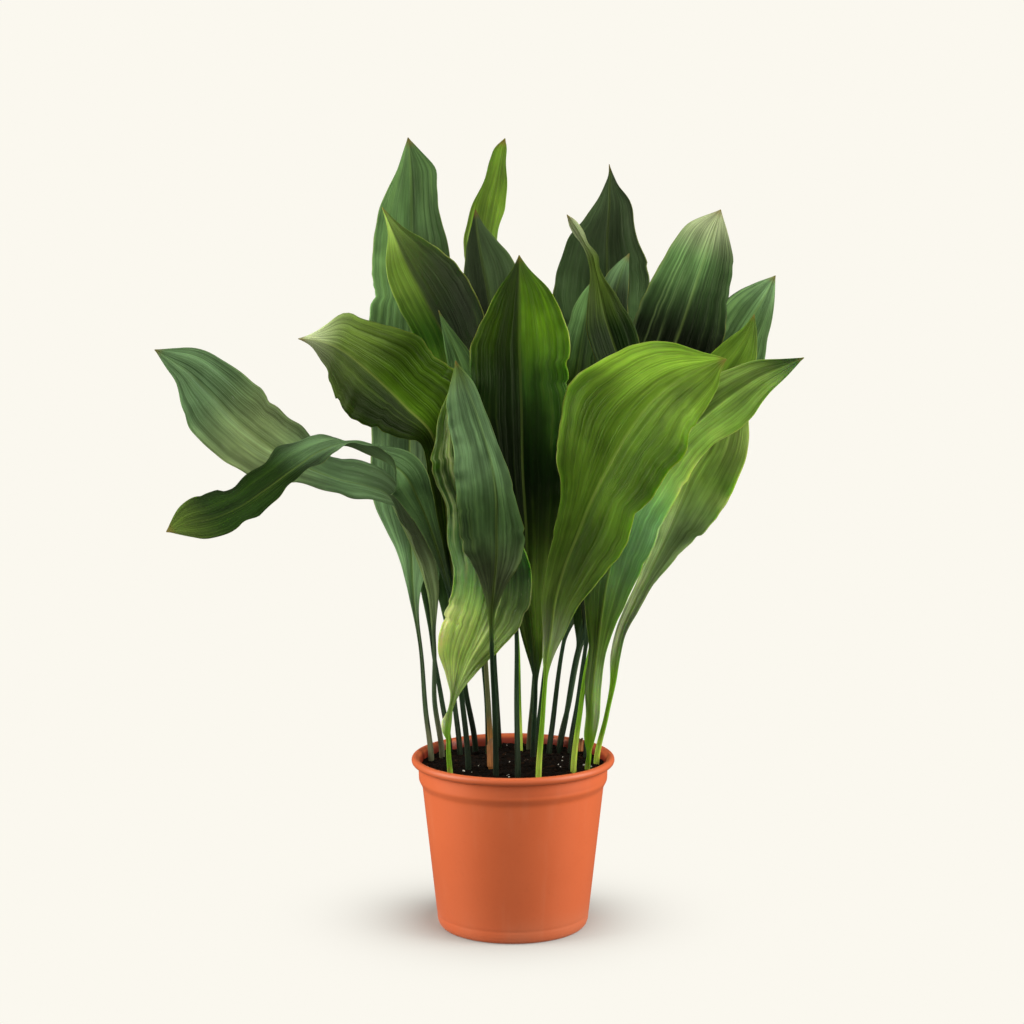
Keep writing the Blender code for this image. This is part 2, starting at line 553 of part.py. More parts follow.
def leaf_rings(leaf):
    """Rings of points along a leaf: round on the stalk, then a thin section as wide as the blade.

    A ring is centre + across * x + normal * z, with x = half width * cos(fold) * cos(angle) and
    z = half width * sin(fold) * |cos(angle)| + half thickness * sin(angle).
    """
    knots, path, reach, neck = leaf_path(leaf)
    end = knots[-1]
    at = np.concatenate([[0.0], np.linspace(knots[1] + 0.002, neck, STALK_STEPS, endpoint=False),
                         np.linspace(neck, end, BLADE_STEPS + 1)])
    centre = smooth(knots, path, at)
    half = np.clip(smooth(knots, reach, at), 0.0, None)
    step = 0.0001
    tangent = unit(smooth(knots, path, np.clip(at + step, 0, end)) -
                   smooth(knots, path, np.clip(at - step, 0, end)))
    share = np.clip((at - neck) / (end - neck), 0.0, 1.0)
    look = eased(leaf["face"], share)
    normal = unit(look - np.sum(look * tangent, axis=1, keepdims=True) * tangent)
    across = np.cross(tangent, normal)

    on_stalk = share <= 0
    stalk_radius = stalk_radius_at(at / neck)
    core = np.where(on_stalk, stalk_radius, STALK_NECK_RADIUS * (1 - share) + 0.0005 * share)
    thin = BLADE_THICKNESS / 2
    thick = thin + (STALK_NECK_RADIUS - thin) * np.exp(-14 * share)
    thick = np.where(on_stalk, stalk_radius, thick * (1 - 0.4 * share))
    fold = np.radians(eased(leaf["fold"], share)[:, 0]) * np.clip(8 * share, 0, 1)

    angle = np.linspace(0, 2 * math.pi, RING, endpoint=False)[None, :]
    side = np.where(np.cos(angle) > 0, half[:, 1:2], half[:, 0:1])
    width = np.hypot(side, core[:, None])
    x = np.cos(fold)[:, None] * width * np.cos(angle)
    z = np.sin(fold)[:, None] * width * np.abs(np.cos(angle)) + thick[:, None] * np.sin(angle)
    return centre[:, None] + across[:, None] * x[..., None] + normal[:, None] * z[..., None]


def build_leaf(name, leaf, parts):
    """Join the rings into one closed body with a cap at the foot and at the tip.

    The upper and the under side are split along the same diagonals, so that a twisted
    blade keeps its thickness.
    """
    rings = leaf_rings(leaf)
    count = len(rings)
    vertices = np.vstack([rings.reshape(-1, 3), rings[0].mean(axis=0), rings[-1].mean(axis=0)])
    faces = []
    for i in range(count - 1):
        for j in range(RING):
            a, b = i * RING + j, i * RING + (j + 1) % RING
            c, d = b + RING, a + RING
            if j < RING // 2:
                faces += [(a, b, c), (a, c, d)]
            else:
                faces += [(a, b, d), (b, c, d)]
    foot, tip = len(vertices) - 2, len(vertices) - 1
    last = (count - 1) * RING
    for j in range(RING):
        faces.append((foot, (j + 1) % RING, j))
        faces.append((tip, last + j, last + (j + 1) % RING))
    item = add_mesh(name, vertices, faces, parts, "leaf_" + leaf["green"], smooth=True)
    work = bmesh.new()
    work.from_mesh(item.data)
    bmesh.ops.recalc_face_normals(work, faces=work.faces)
    work.to_mesh(item.data)
    work.free()
    return item


# ---- dry scales -------------------------------------------------------------------------------------
def build_sheath(parts):
    """A papery scale: a thin sleeve that follows the foot of one stalk and tapers upward.

    Outer rings run up and inner rings run back down, so the ring list closes on itself.
    """
    knots, path, _, neck = leaf_path(LEAVES["leaf_left_teal_tip"])
    low = SOIL_TOP + 0.0017 - FOOT_BOTTOM
    at = np.linspace(low, low + SHEATH_HEIGHT, 5)
    centre = smooth(knots, path, at)
    inner = stalk_radius_at(at / neck) + 0.0005
    outer = inner + np.linspace(0.0010, 0.0005, len(at))
    sides = 12
    angle = np.linspace(0, 2 * math.pi, sides, endpoint=False)
    circle = np.stack([np.cos(angle), np.sin(angle), 0 * angle], axis=1)
    rings = np.concatenate([centre[:, None] + circle * outer[:, None, None],
                            centre[::-1, None] + circle * inner[::-1, None, None]])
    count = len(rings)
    faces = []
    for i in range(count):
        for j in range(sides):
            a, b = i * sides, ((i + 1) % count) * sides
            k = (j + 1) % sides
            faces.append((a + j, a + k, b + k, b + j))
    return add_mesh("dry_sheath", rings.reshape(-1, 3), faces, parts, "dry_sheath", smooth=True)


def build_stub(parts):
    """The dried foot of an old leaf, a short leaning peg standing on the soil."""
    peg = turned("dry_stub", [(0.0, 0.0125), (0.0011, 0.0118), (0.0015, 0.0080), (0.0019, 0.0040),
                              (0.0021, 0.0), (0.0, 0.0)], 10, parts, "dry_sheath")
    peg = as_mesh(peg)
    peg.location = (0.0570, 0.0400, SOIL_TOP + 0.0009)
    return peg


def main():
    clear_scene()
    parts = new_collection("potted_cast_iron_plant")
    pot_cutters = new_collection("cutters_pot")
    soil_cutters = new_collection("cutters_soil")
    build_pot(parts, pot_cutters)
    build_soil(parts, soil_cutters)
    rootstock_tube("rhizome", ROOTSTOCK_RADIUS, parts, "rootstock")
    build_sheath(parts)
    build_stub(parts)
    for name, leaf in LEAVES.items():
        build_leaf(name, leaf, parts)
    for item in parts.objects:
        if item.type == "MESH":
            item.data.set_sharp_from_angle(angle=math.radians(40))


main()
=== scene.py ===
# %% [markdown]
# # Potted cast iron plant
# A pot plant is three very different things in one: a smooth moulded pot, crumbly soil, and some
# twenty long leaves that each stand on a stalk of their own. This lesson makes them one after
# another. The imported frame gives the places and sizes, and every piece made here stands exactly where
# its plain solid stands.

# %% Load the frame
import math

import bpy
import numpy as np
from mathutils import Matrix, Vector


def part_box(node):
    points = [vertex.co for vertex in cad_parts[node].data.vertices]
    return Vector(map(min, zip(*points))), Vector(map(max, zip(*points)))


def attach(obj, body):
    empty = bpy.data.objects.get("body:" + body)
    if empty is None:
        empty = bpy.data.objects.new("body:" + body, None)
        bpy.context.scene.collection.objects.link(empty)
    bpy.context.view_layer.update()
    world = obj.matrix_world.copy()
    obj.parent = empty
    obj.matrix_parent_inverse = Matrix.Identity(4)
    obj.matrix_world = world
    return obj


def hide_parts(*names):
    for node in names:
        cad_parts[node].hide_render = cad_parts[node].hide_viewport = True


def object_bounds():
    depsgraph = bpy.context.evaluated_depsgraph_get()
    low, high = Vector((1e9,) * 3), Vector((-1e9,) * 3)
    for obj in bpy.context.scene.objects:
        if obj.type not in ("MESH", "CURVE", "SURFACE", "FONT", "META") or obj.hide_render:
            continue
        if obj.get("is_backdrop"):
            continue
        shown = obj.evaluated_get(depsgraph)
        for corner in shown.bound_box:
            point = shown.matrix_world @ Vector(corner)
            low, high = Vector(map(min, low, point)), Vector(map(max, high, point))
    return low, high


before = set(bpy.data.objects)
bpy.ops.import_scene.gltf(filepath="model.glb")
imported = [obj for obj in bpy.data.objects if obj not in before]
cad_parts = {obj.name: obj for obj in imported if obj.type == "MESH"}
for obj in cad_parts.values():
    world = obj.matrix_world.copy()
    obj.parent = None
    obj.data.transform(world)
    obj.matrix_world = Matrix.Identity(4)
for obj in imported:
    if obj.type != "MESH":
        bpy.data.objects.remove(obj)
frame_box = [list(corner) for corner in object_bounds()]
scene = bpy.context.scene
print("frame box", [[round(v, 4) for v in corner] for corner in frame_box])

# %% [markdown]
# ## Camera, floor and light
# The plant is seen from a little above, through a long lens, so the camera stands well back and looks
# down by a few degrees. Two tall soft boxes stand at the left and right: that is why the pot is
# brightest along both its sides and a shade darker in the middle. A weak one in front keeps the
# leaves from going black. The floor is a sheet of pale paper, and because the paper glows a little,
# the shadows on it stay soft and light.

# %% Camera
def camera_at(place, down, lens):
    """A camera at a place that looks along +Y and then down by so many degrees."""
    data = bpy.data.cameras.new("plant_camera")
    data.lens = lens
    data.clip_start = 0.05
    data.clip_end = 60.0
    item = bpy.data.objects.new("plant_camera", data)
    item.location = place
    item.rotation_euler = (math.radians(90.0 - down), 0.0, 0.0)
    scene.collection.objects.link(item)
    return item


scene.camera = camera_at((-0.0008, -2.3, 0.69), 8.37, 98.8)
scene.view_settings.view_transform = "Standard"
print("camera at", tuple(round(v, 3) for v in scene.camera.location))


# %% Soft boxes
def soft_box(name, place, aim, wide, tall, watts, colour=(1.0, 1.0, 1.0)):
    """A rectangle of light at a place, turned so that it faces the aim."""
    data = bpy.data.lights.new(name, "AREA")
    data.shape = "RECTANGLE"
    data.size = wide
    data.size_y = tall
    data.energy = watts
    data.color = colour
    item = bpy.data.objects.new(name, data)
    item.location = place
    away = np.array(aim, dtype=float) - np.array(place, dtype=float)
    flat = math.hypot(away[0], away[1])
    item.rotation_euler = (math.atan2(flat, -away[2]), 0.0, math.atan2(-away[0], away[1]))
    scene.collection.objects.link(item)
    return item


MIDDLE = (0.0, 0.0, 0.33)
WARM = (1.0, 0.96, 0.86)
soft_box("box_left", (-1.45, -0.38, 0.80), MIDDLE, 1.0, 1.5, 36.0, WARM)
soft_box("box_right", (1.45, -0.38, 0.80), MIDDLE, 1.0, 1.5, 36.5, WARM)
soft_box("box_front", (0.0, -2.5, 0.45), MIDDLE, 1.6, 0.9, 9.0, WARM)
soft_box("box_top", (0.0, 0.2, 2.0), MIDDLE, 1.6, 1.2, 10.0, WARM)


# %% [markdown]
# ## A short hand for nodes
# A finish is a small web of nodes. Written out one by one the web hides the idea, so a helper adds a
# node, fills its sockets and gives back its result, and a finish then reads almost like a formula.

# %% Node helper
def tint(red, green, blue):
    """A colour given as 0-255 screen values, as the linear numbers that shaders use."""
    value = np.array([red, green, blue]) / 255.0
    linear = np.where(value <= 0.04045, value / 12.92, ((value + 0.055) / 1.055) ** 2.4)
    return (*[float(v) for v in linear], 1.0)


class Finish:
    """One material and its nodes. Every method adds a node and returns its result."""

    def __init__(self, name):
        self.material = bpy.data.materials.new(name)
        self.material.use_nodes = True
        self.tree = self.material.node_tree
        self.shader = self.tree.nodes["Principled BSDF"]

    def put(self, socket, value):
        if isinstance(value, bpy.types.NodeSocket):
            self.tree.links.new(value, socket)
        else:
            socket.default_value = value

    def add(self, kind, inputs=(), result=0, **settings):
        made = self.tree.nodes.new("ShaderNode" + kind)
        for key, value in settings.items():
            setattr(made, key, value)
        for key, value in dict(inputs).items():
            self.put(made.inputs[key], value)
        return made.outputs[result]

    def own(self, name):
        """A number stored on the piece's own mesh."""
        return self.add("Attribute", attribute_name=name, result="Fac")

    def place(self):
        return self.add("TexCoord", result="Object")

    def calc(self, operation, *values, clamp=False):
        return self.add("Math", dict(enumerate(values)), operation=operation, use_clamp=clamp)

    def step(self, value, low, high, out_low=0.0, out_high=1.0):
        """Slides from out_low to out_high as the value goes from low to high, eased at both ends."""
        return self.add("MapRange", {0: value, 1: low, 2: high, 3: out_low, 4: out_high},
                        interpolation_type="SMOOTHSTEP")

    def spot(self, x, y, x0, y0, long, wide):
        """A soft spot, exp(-((x - x0) / long)^2 - ((y - y0) / wide)^2)."""
        dx = self.calc("DIVIDE", self.calc("SUBTRACT", x, x0), long)
        dy = self.calc("DIVIDE", self.calc("SUBTRACT", y, y0), wide)
        far = self.calc("MULTIPLY_ADD", dx, dx, self.calc("MULTIPLY", dy, dy))
        return self.calc("EXPONENT", self.calc("MULTIPLY", far, -1.0))

    def join(self, x, y, z):
        return self.add("CombineXYZ", {0: x, 1: y, 2: z})

    def noise(self, vector, scale=1.0, detail=3.0, rough=0.5):
        inputs = {"Vector": vector, "Scale": scale, "Detail": detail, "Roughness": rough}
        return self.add("TexNoise", inputs, result="Fac")

    def grain(self, u, v, long, wide, shift, detail=3.0, rough=0.5):
        """Noise on a surface's own two numbers: long and wide say how fast it changes along each."""
        spot = self.join(self.calc("MULTIPLY", u, long), self.calc("MULTIPLY", v, wide), shift)
        return self.noise(spot, 1.0, detail, rough)

    def ramp(self, value, stops, ease="EASE"):
        """A colour that changes along the value: stops are (value, colour)."""
        result = self.add("ValToRGB", {0: value})
        ramp = result.node.color_ramp
        ramp.interpolation = ease
        while len(ramp.elements) < len(stops):
            ramp.elements.new(0.5)
        for element, (at, colour) in zip(ramp.elements, stops):
            element.position = at
            element.color = colour
        return result

    def mix(self, share, first, second, blend="MIX"):
        result = self.add("Mix", data_type="RGBA", blend_type=blend, result=2)
        self.put(result.node.inputs[0], share)
        self.put(result.node.inputs[6], first)
        self.put(result.node.inputs[7], second)
        return result

    def dim(self, colour, amount):
        """The colour times a number."""
        return self.add("VectorMath", {0: colour, 3: amount}, operation="SCALE")

    def bump(self, height, strength, depth):
        return self.add("Bump", {"Height": height, "Strength": strength, "Distance": depth})

    def give(self, **sockets):
        for key, value in sockets.items():
            self.put(self.shader.inputs[key.replace("_", " ")], value)
        return self.material


print("finish helper ready")


# %% Mesh helper
def grid_piece(name, points, finish, caps=True, loop=False, numbers=None, stands_for=()):
    """A closed mesh from rings of points: rows x ring x 3. Every ring joins its last point to its first.

    A cap closes each end with one middle point, or a loop joins the last row to the first. If the volume
    comes out negative, every face is turned round. Numbers are (rows x ring) fields stored on the points.
    """
    rows, count = points.shape[:2]
    i, j = np.meshgrid(np.arange(rows if loop else rows - 1), np.arange(count), indexing="ij")
    up, right = (i + 1) % rows, (j + 1) % count
    quads = np.stack([i * count + j, i * count + right, up * count + right, up * count + j], -1)
    quads = quads.reshape(-1, 4)
    a, b, c, d = (points.reshape(-1, 3)[quads[:, k]] for k in range(4))
    turned_in = np.sum(np.cross(b - a, c - a) * a) + np.sum(np.cross(c - a, d - a) * a) < 0
    spots = points.reshape(-1, 3)
    tris = np.zeros((0, 3), dtype=int)
    if caps:
        spots = np.vstack([spots, points[0].mean(axis=0), points[-1].mean(axis=0)])
        first, last = rows * count, rows * count + 1
        end = (rows - 1) * count
        ring_at = np.arange(count)
        ring_to = (ring_at + 1) % count
        tris = np.vstack([np.stack([np.full(count, first), ring_to, ring_at], -1),
                          np.stack([np.full(count, last), end + ring_at, end + ring_to], -1)])
    if turned_in:
        quads, tris = quads[:, ::-1], tris[:, ::-1]
    mesh = bpy.data.meshes.new(name)
    mesh.from_pydata(spots.tolist(), [], quads.tolist() + tris.tolist())
    for key, field in (numbers or {}).items():
        flat = np.broadcast_to(field, (rows, count)).reshape(-1)
        if caps:
            flat = np.concatenate([flat, [flat[:count].mean(), flat[-count:].mean()]])
        mesh.attributes.new(key, "FLOAT", "POINT").data.foreach_set("value", flat.astype(np.float32))
    mesh.shade_smooth()
    mesh.materials.append(finish)
    return place_piece(name, mesh, stands_for)


def place_piece(name, mesh, stands_for):
    """Hang a finished mesh on the plant's one body and hide the plain solid it stands for."""
    item = bpy.data.objects.new(name, mesh)
    scene.collection.objects.link(item)
    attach(item, "root")
    if stands_for:
        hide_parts(*stands_for)
    return item


def unit(vectors):
    return vectors / np.linalg.norm(vectors, axis=-1, keepdims=True)


print("mesh helper ready")

# %% [markdown]
# ## The floor
# One big disc of pale paper on a pale backdrop. The paper shines by itself everywhere but round the
# pot, where it is lit by the boxes instead: there the pot and the leaves leave a soft grey shadow,
# and further out the paper melts into the backdrop without a line. What the camera sees of the
# backdrop is bright, and what it gives to the plant is weak, as it is when a backdrop stands far
# behind.

# %% Floor and backdrop
PAPER = tint(251, 248, 239)
FILL = 0.12
paper = Finish("floor_paper")
where = paper.place()
x, y = (paper.add("SeparateXYZ", {0: where}, result=axis) for axis in "XY")
around = paper.spot(x, y, -0.008, 0.020, 0.088, 0.088)
lit = paper.calc("MINIMUM", 1.0, paper.calc("MULTIPLY", around, 1.66))
seen = paper.add("LightPath", result="Is Camera Ray")
own = paper.calc("SUBTRACT", 1.0, lit)
own = paper.calc("MULTIPLY", own, paper.step(seen, 0.0, 1.0, FILL, 1.0))
grain = paper.noise(where, 6.0, 2.0)
grey_paper = paper.mix(grain, tint(184, 187, 188), tint(188, 191, 192))
paper.give(Base_Color=paper.dim(grey_paper, lit), Roughness=1.0,
           Specular_IOR_Level=0.0, Emission_Color=PAPER, Emission_Strength=own)
STEPS = 96
turn = np.linspace(0, 2 * math.pi, STEPS, endpoint=False)
reach = np.array([0.05, 0.4, 1.5, 6.0, 40.0])
ring = np.stack([np.cos(turn), np.sin(turn), 0 * turn], axis=-1)
disc = reach[:, None, None] * ring
floor = bpy.data.meshes.new("paper_floor")
spots = np.vstack([[[0.0, 0.0, 0.0]], disc.reshape(-1, 3)])
quads = []
for start in range(1, 1 + STEPS * (len(reach) - 1), STEPS):
    for j in range(STEPS):
        beside = (j + 1) % STEPS
        quads.append((start + j, start + STEPS + j, start + STEPS + beside, start + beside))
tris = [(0, 1 + j, 1 + (j + 1) % STEPS) for j in range(STEPS)]
floor.from_pydata(spots.tolist(), [], quads + tris)
floor.materials.append(paper.material)
ground = bpy.data.objects.new("paper_floor", floor)
scene.collection.objects.link(ground)
ground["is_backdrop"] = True

world = bpy.data.worlds.new("studio")
world.use_nodes = True
backdrop = world.node_tree.nodes["Background"]
backdrop.inputs["Color"].default_value = PAPER
path = world.node_tree.nodes.new("ShaderNodeLightPath")
level = world.node_tree.nodes.new("ShaderNodeMapRange")
level.inputs["To Min"].default_value = FILL
world.node_tree.links.new(path.outputs["Is Camera Ray"], level.inputs["Value"])
world.node_tree.links.new(level.outputs["Result"], backdrop.inputs["Strength"])
scene.world = world
print("floor", len(floor.polygons), "faces")

# %% [markdown]
# ## The pot
# A grower's pot of terracotta-coloured plastic comes from a mould: a thick rounded bead round the
# mouth to carry it by, a short straight collar, a small step, a wall that tapers so that pots stack,
# and a rounded bottom edge with a faint line a finger's breadth up. A turned profile gives all of
# that exactly. The bought thing is never perfectly round, so the wall wanders by a tenth of a
# millimetre or two.

# %% Pot sizes
POT_HEIGHT = 0.146
RIM_RADIUS = 0.085
COLLAR_RADIUS = 0.0792
BODY_TOP_RADIUS = 0.0757
BODY_LOW_RADIUS = 0.0637
FOOT_RADIUS = 0.0585
BODY_LOW = 0.010
BODY_LENGTH = 0.1085
WALL = 0.0018
FLOOR = 0.0025


def wall_radius(z):
    """Outside radius of the tapering wall at a height."""
    return BODY_LOW_RADIUS + (BODY_TOP_RADIUS - BODY_LOW_RADIUS) * (z - BODY_LOW) / BODY_LENGTH


def rounded(profile, gap, turns=2):
    """A profile of (radius, height) with more points and soft corners: fill every gap, then average."""
    profile = np.array(profile, dtype=float)
    far = np.concatenate([[0.0], np.cumsum(np.linalg.norm(np.diff(profile, axis=0), axis=1))])
    at = np.linspace(0.0, far[-1], int(far[-1] / gap) + 1)
    line = np.stack([np.interp(at, far, profile[:, k]) for k in range(2)], axis=1)
    for _ in range(turns):
        line[1:-1] = (line[:-2] + 2 * line[1:-1] + line[2:]) / 4
    return line


# %% Pot profile
bead_turn = np.radians([155, 130, 105, 80, 55, 30, 5, -20, -45, -70, -88])
bead = np.stack([RIM_RADIUS - 0.0032 + 0.0032 * np.cos(bead_turn),
                 POT_HEIGHT - 0.0035 + 0.0035 * np.sin(bead_turn)], axis=1)
outside = np.vstack([bead, [
    (COLLAR_RADIUS + 0.0003, POT_HEIGHT - 0.0072), (COLLAR_RADIUS, POT_HEIGHT - 0.0080),
    (COLLAR_RADIUS - 0.0004, 0.1262), (COLLAR_RADIUS - 0.0010, 0.1248),
    (BODY_TOP_RADIUS + 0.0004, 0.1208), (BODY_TOP_RADIUS, 0.1190),
    (wall_radius(0.0124), 0.0124), (wall_radius(0.0116) - 0.00035, 0.0116),
    (wall_radius(0.0108) - 0.00035, 0.0108), (wall_radius(0.0100), 0.0100),
    (BODY_LOW_RADIUS - 0.0004, 0.0060), (BODY_LOW_RADIUS - 0.0016, 0.0028),
    (BODY_LOW_RADIUS - 0.0034, 0.0008), (FOOT_RADIUS, 0.0), (FOOT_RADIUS - 0.004, 0.0),
    (FOOT_RADIUS - 0.005, 0.0009), (0.012, 0.0009)]])
inside = np.array([
    (0.012, FLOOR), (FOOT_RADIUS - 0.0020, FLOOR), (BODY_LOW_RADIUS - WALL - 0.0006, 0.0060),
    (BODY_LOW_RADIUS - WALL, 0.0100), (BODY_TOP_RADIUS - WALL, 0.1190),
    (COLLAR_RADIUS - 0.0004 - WALL, 0.1265), (COLLAR_RADIUS - WALL + 0.0002, POT_HEIGHT - 0.0048),
    tuple(bead[0])])
profile = np.vstack([rounded(outside, 0.0009, 1), rounded(inside, 0.0013, 1)[:-1]])
print("pot profile", len(profile), "points")


# %% Turn the pot
def turned(profile, steps, wander=0.0):
    """Carry a profile round the upright axis: (r cos t, r sin t, z), with r a shade out of round."""
    turn = np.linspace(0.0, 2 * math.pi, steps, endpoint=False)[None, :]
    radius = profile[:, 0:1]
    height = profile[:, 1:2]
    out = wander * (np.sin(2 * turn + 0.7) + 0.5 * np.sin(3 * turn + 9 * height) + 0.3 * np.sin(5 * turn))
    radius = radius + out * np.clip((radius - 0.03) / 0.03, 0, 1)
    return np.stack([radius * np.cos(turn), radius * np.sin(turn), height + 0 * turn], axis=-1)


# %% [markdown]
# The plastic is a warm orange-brown with a satin skin. Its finish comes from four thin layers of
# change: slow clouds in the colour where the pigment is uneven, faint rubbed streaks down the wall, a
# little dust near the base, and a fine orange-peel in the skin that breaks up the shine.

# %% Pot finish
clay = Finish("terracotta_plastic")
where = clay.place()
cloud = clay.noise(where, 14.0, 3.0)
speckle = clay.noise(where, 260.0, 2.0)
stretched = clay.add("Mapping", {"Vector": where, "Scale": (90.0, 90.0, 5.0)})
rubbed = clay.step(clay.noise(stretched, 1.0, 3.0), 0.54, 0.75)
height = clay.add("SeparateXYZ", {0: where}, result="Z")
flat = clay.add("VectorMath", {0: where, 1: (1.0, 1.0, 0.0)}, operation="MULTIPLY")
reach = clay.add("VectorMath", {0: flat}, operation="LENGTH", result="Value")
# Painted shade: this marks the inside of the wall above the soil, which is painted dark red as the shadow
# that falls into the mouth.
inside_shade = clay.calc("MULTIPLY", clay.step(reach, 0.0790, 0.0778), clay.step(height, 0.1275, 0.1300))
bead_painted_shade = clay.calc("MULTIPLY", clay.step(height, 0.1385, 0.1400), clay.step(inside_shade, 1.0, 0.0))
dust = clay.calc("MULTIPLY", clay.step(height, 0.030, 0.004), clay.step(cloud, 0.40, 0.65))
tone = clay.mix(cloud, tint(218, 104, 58), tint(230, 114, 66))
tone = clay.mix(clay.calc("MULTIPLY", rubbed, 0.22), tone, tint(226, 130, 88))
tone = clay.mix(clay.calc("MULTIPLY", clay.step(speckle, 0.55, 0.75), 0.04), tone, tint(150, 66, 36))
# Painted shade: the bead is painted a little darker than the wall, to hold down the light its round top
# catches.
tone = clay.dim(tone, clay.step(bead_painted_shade, 0.0, 1.0, 1.0, 0.88))
# Painted shade: the inside of the wall is painted a dark red.
tone = clay.mix(inside_shade, tone, tint(150, 52, 30))
tone = clay.mix(clay.calc("MULTIPLY", dust, 0.18), tone, tint(196, 148, 118))
skin = clay.calc("ADD", clay.calc("MULTIPLY", speckle, 0.5), clay.calc("MULTIPLY", rubbed, 0.3))
# The wall is painted darker towards the bottom.
tone = clay.dim(tone, clay.step(height, 0.0, 0.11, 0.84, 0.97))
clay.give(Base_Color=tone,
          Roughness=clay.calc("ADD", 0.40, clay.calc("ADD", clay.calc("MULTIPLY", cloud, 0.12),
                                                     clay.calc("MULTIPLY", rubbed, 0.10))),
          Normal=clay.bump(skin, 0.12, 0.0003))

pot_points = turned(profile, 224, 0.00018)
pot = grid_piece("pot_body", pot_points, clay.material, caps=False, loop=True,
                 stands_for=("pot",))
print("pot", len(pot.data.polygons), "faces")

# %% [markdown]
# ## The soil
# Potting mix is mostly dark crumbs of peat and bark from a fraction of a millimetre up to a few
# millimetres, with a few white grains of perlite. Two things together look like that: a mounded
# surface with fine bumps worked out on a polar grid, and some fifteen hundred loose crumbs lying on
# it. Each crumb is only a ball of 20 faces with its corners pushed about, because there are many and
# they are tiny.

# %% Soil surface
SOIL_TOP = 0.139
SOIL_BOTTOM = 0.004
SOIL_EDGE = COLLAR_RADIUS - 0.0004 - WALL - 0.0003


def bumpy(x, y, chance, waves, finest):
    """A sum of many flat waves in chance directions: finer waves are lower. Result about -1..1."""
    total = 0.0
    for _ in range(waves):
        length = finest * chance.uniform(1.0, 6.0)
        angle = chance.uniform(0, 2 * math.pi)
        phase = chance.uniform(0, 2 * math.pi)
        total = total + length / (6 * finest) * np.sin(
            2 * math.pi * (x * math.cos(angle) + y * math.sin(angle)) / length + phase)
    return total * 1.6 / math.sqrt(waves)


def soil_height(x, y):
    """A low mound with a few dips and a rough skin."""
    far = np.hypot(x, y)
    chance = np.random.default_rng(4)
    mound = SOIL_TOP + 0.0010 * np.cos(np.clip(far / SOIL_EDGE, 0, 1) * math.pi) - 0.0006
    return mound + 0.0009 * bumpy(x, y, chance, 24, 0.006) + 0.0005 * bumpy(x, y, chance, 30, 0.0018)


turn = np.linspace(0, 2 * math.pi, 260, endpoint=False)[None, :]
top_reach = np.linspace(0.0008, SOIL_EDGE, 92)[:, None]
x, y = top_reach * np.cos(turn), top_reach * np.sin(turn)
top = np.stack([x, y, soil_height(x, y)], axis=-1)
side = rounded([(SOIL_EDGE, 0.1285), (BODY_TOP_RADIUS - WALL - 0.0003, 0.1185),
                (BODY_LOW_RADIUS - WALL - 0.0003, 0.0105), (FOOT_RADIUS - 0.0030, SOIL_BOTTOM),
                (0.010, SOIL_BOTTOM)], 0.006)
soil_points = np.concatenate([top, turned(side, 260)])
print("soil rings", len(soil_points))


# %% Soil finish and body
def soil_finish(name, dark, light, share):
    """Near-black peat with browner bits: the share of lighter crumbs and fibres is set by a threshold."""
    soil = Finish(name)
    where = soil.place()
    fine = soil.noise(where, 900.0, 4.0, 0.7)
    bits = soil.noise(where, 330.0, 2.0)
    damp = soil.noise(where, 40.0, 2.0)
    tone = soil.mix(soil.step(fine, 0.35, 0.7), dark, light)
    browner = soil.calc("MULTIPLY", soil.step(bits, share, share + 0.08), 0.55)
    tone = soil.mix(browner, tone, tint(50, 31, 19))
    return soil.give(Base_Color=tone, Specular_IOR_Level=0.1,
                     Roughness=soil.step(damp, 0.35, 0.65, 0.80, 0.98),
                     Normal=soil.bump(fine, 0.7, 0.0009))


peat = soil_finish("potting_soil", tint(8, 5, 3), tint(18, 11, 7), 0.62)
soil = grid_piece("soil_body", soil_points, peat, stands_for=("soil",))
print("soil", len(soil.data.polygons), "faces")


# %% Crumbs and perlite
def small_ball():
    """The 12 corners and 20 faces of an icosahedron of radius 1."""
    gold = (1 + math.sqrt(5)) / 2
    corners = [(s, t * gold, 0) for s in (-1, 1) for t in (-1, 1)]
    corners = np.array(corners + [(0, s, t) for s, t, _ in corners] + [(t, 0, s) for s, t, _ in corners])
    faces = [(a, b, c) for a in range(12) for b in range(a + 1, 12) for c in range(b + 1, 12)
             if max(np.linalg.norm(corners[a] - corners[b]), np.linalg.norm(corners[b] - corners[c]),
                    np.linalg.norm(corners[a] - corners[c])) < 2.1]
    faces = [f if np.dot(np.cross(corners[f[1]] - corners[f[0]], corners[f[2]] - corners[f[0]]),
                         corners[f[0]]) > 0 else f[::-1] for f in faces]
    return unit(corners.astype(float)), np.array(faces)


BALL, BALL_FACES = small_ball()


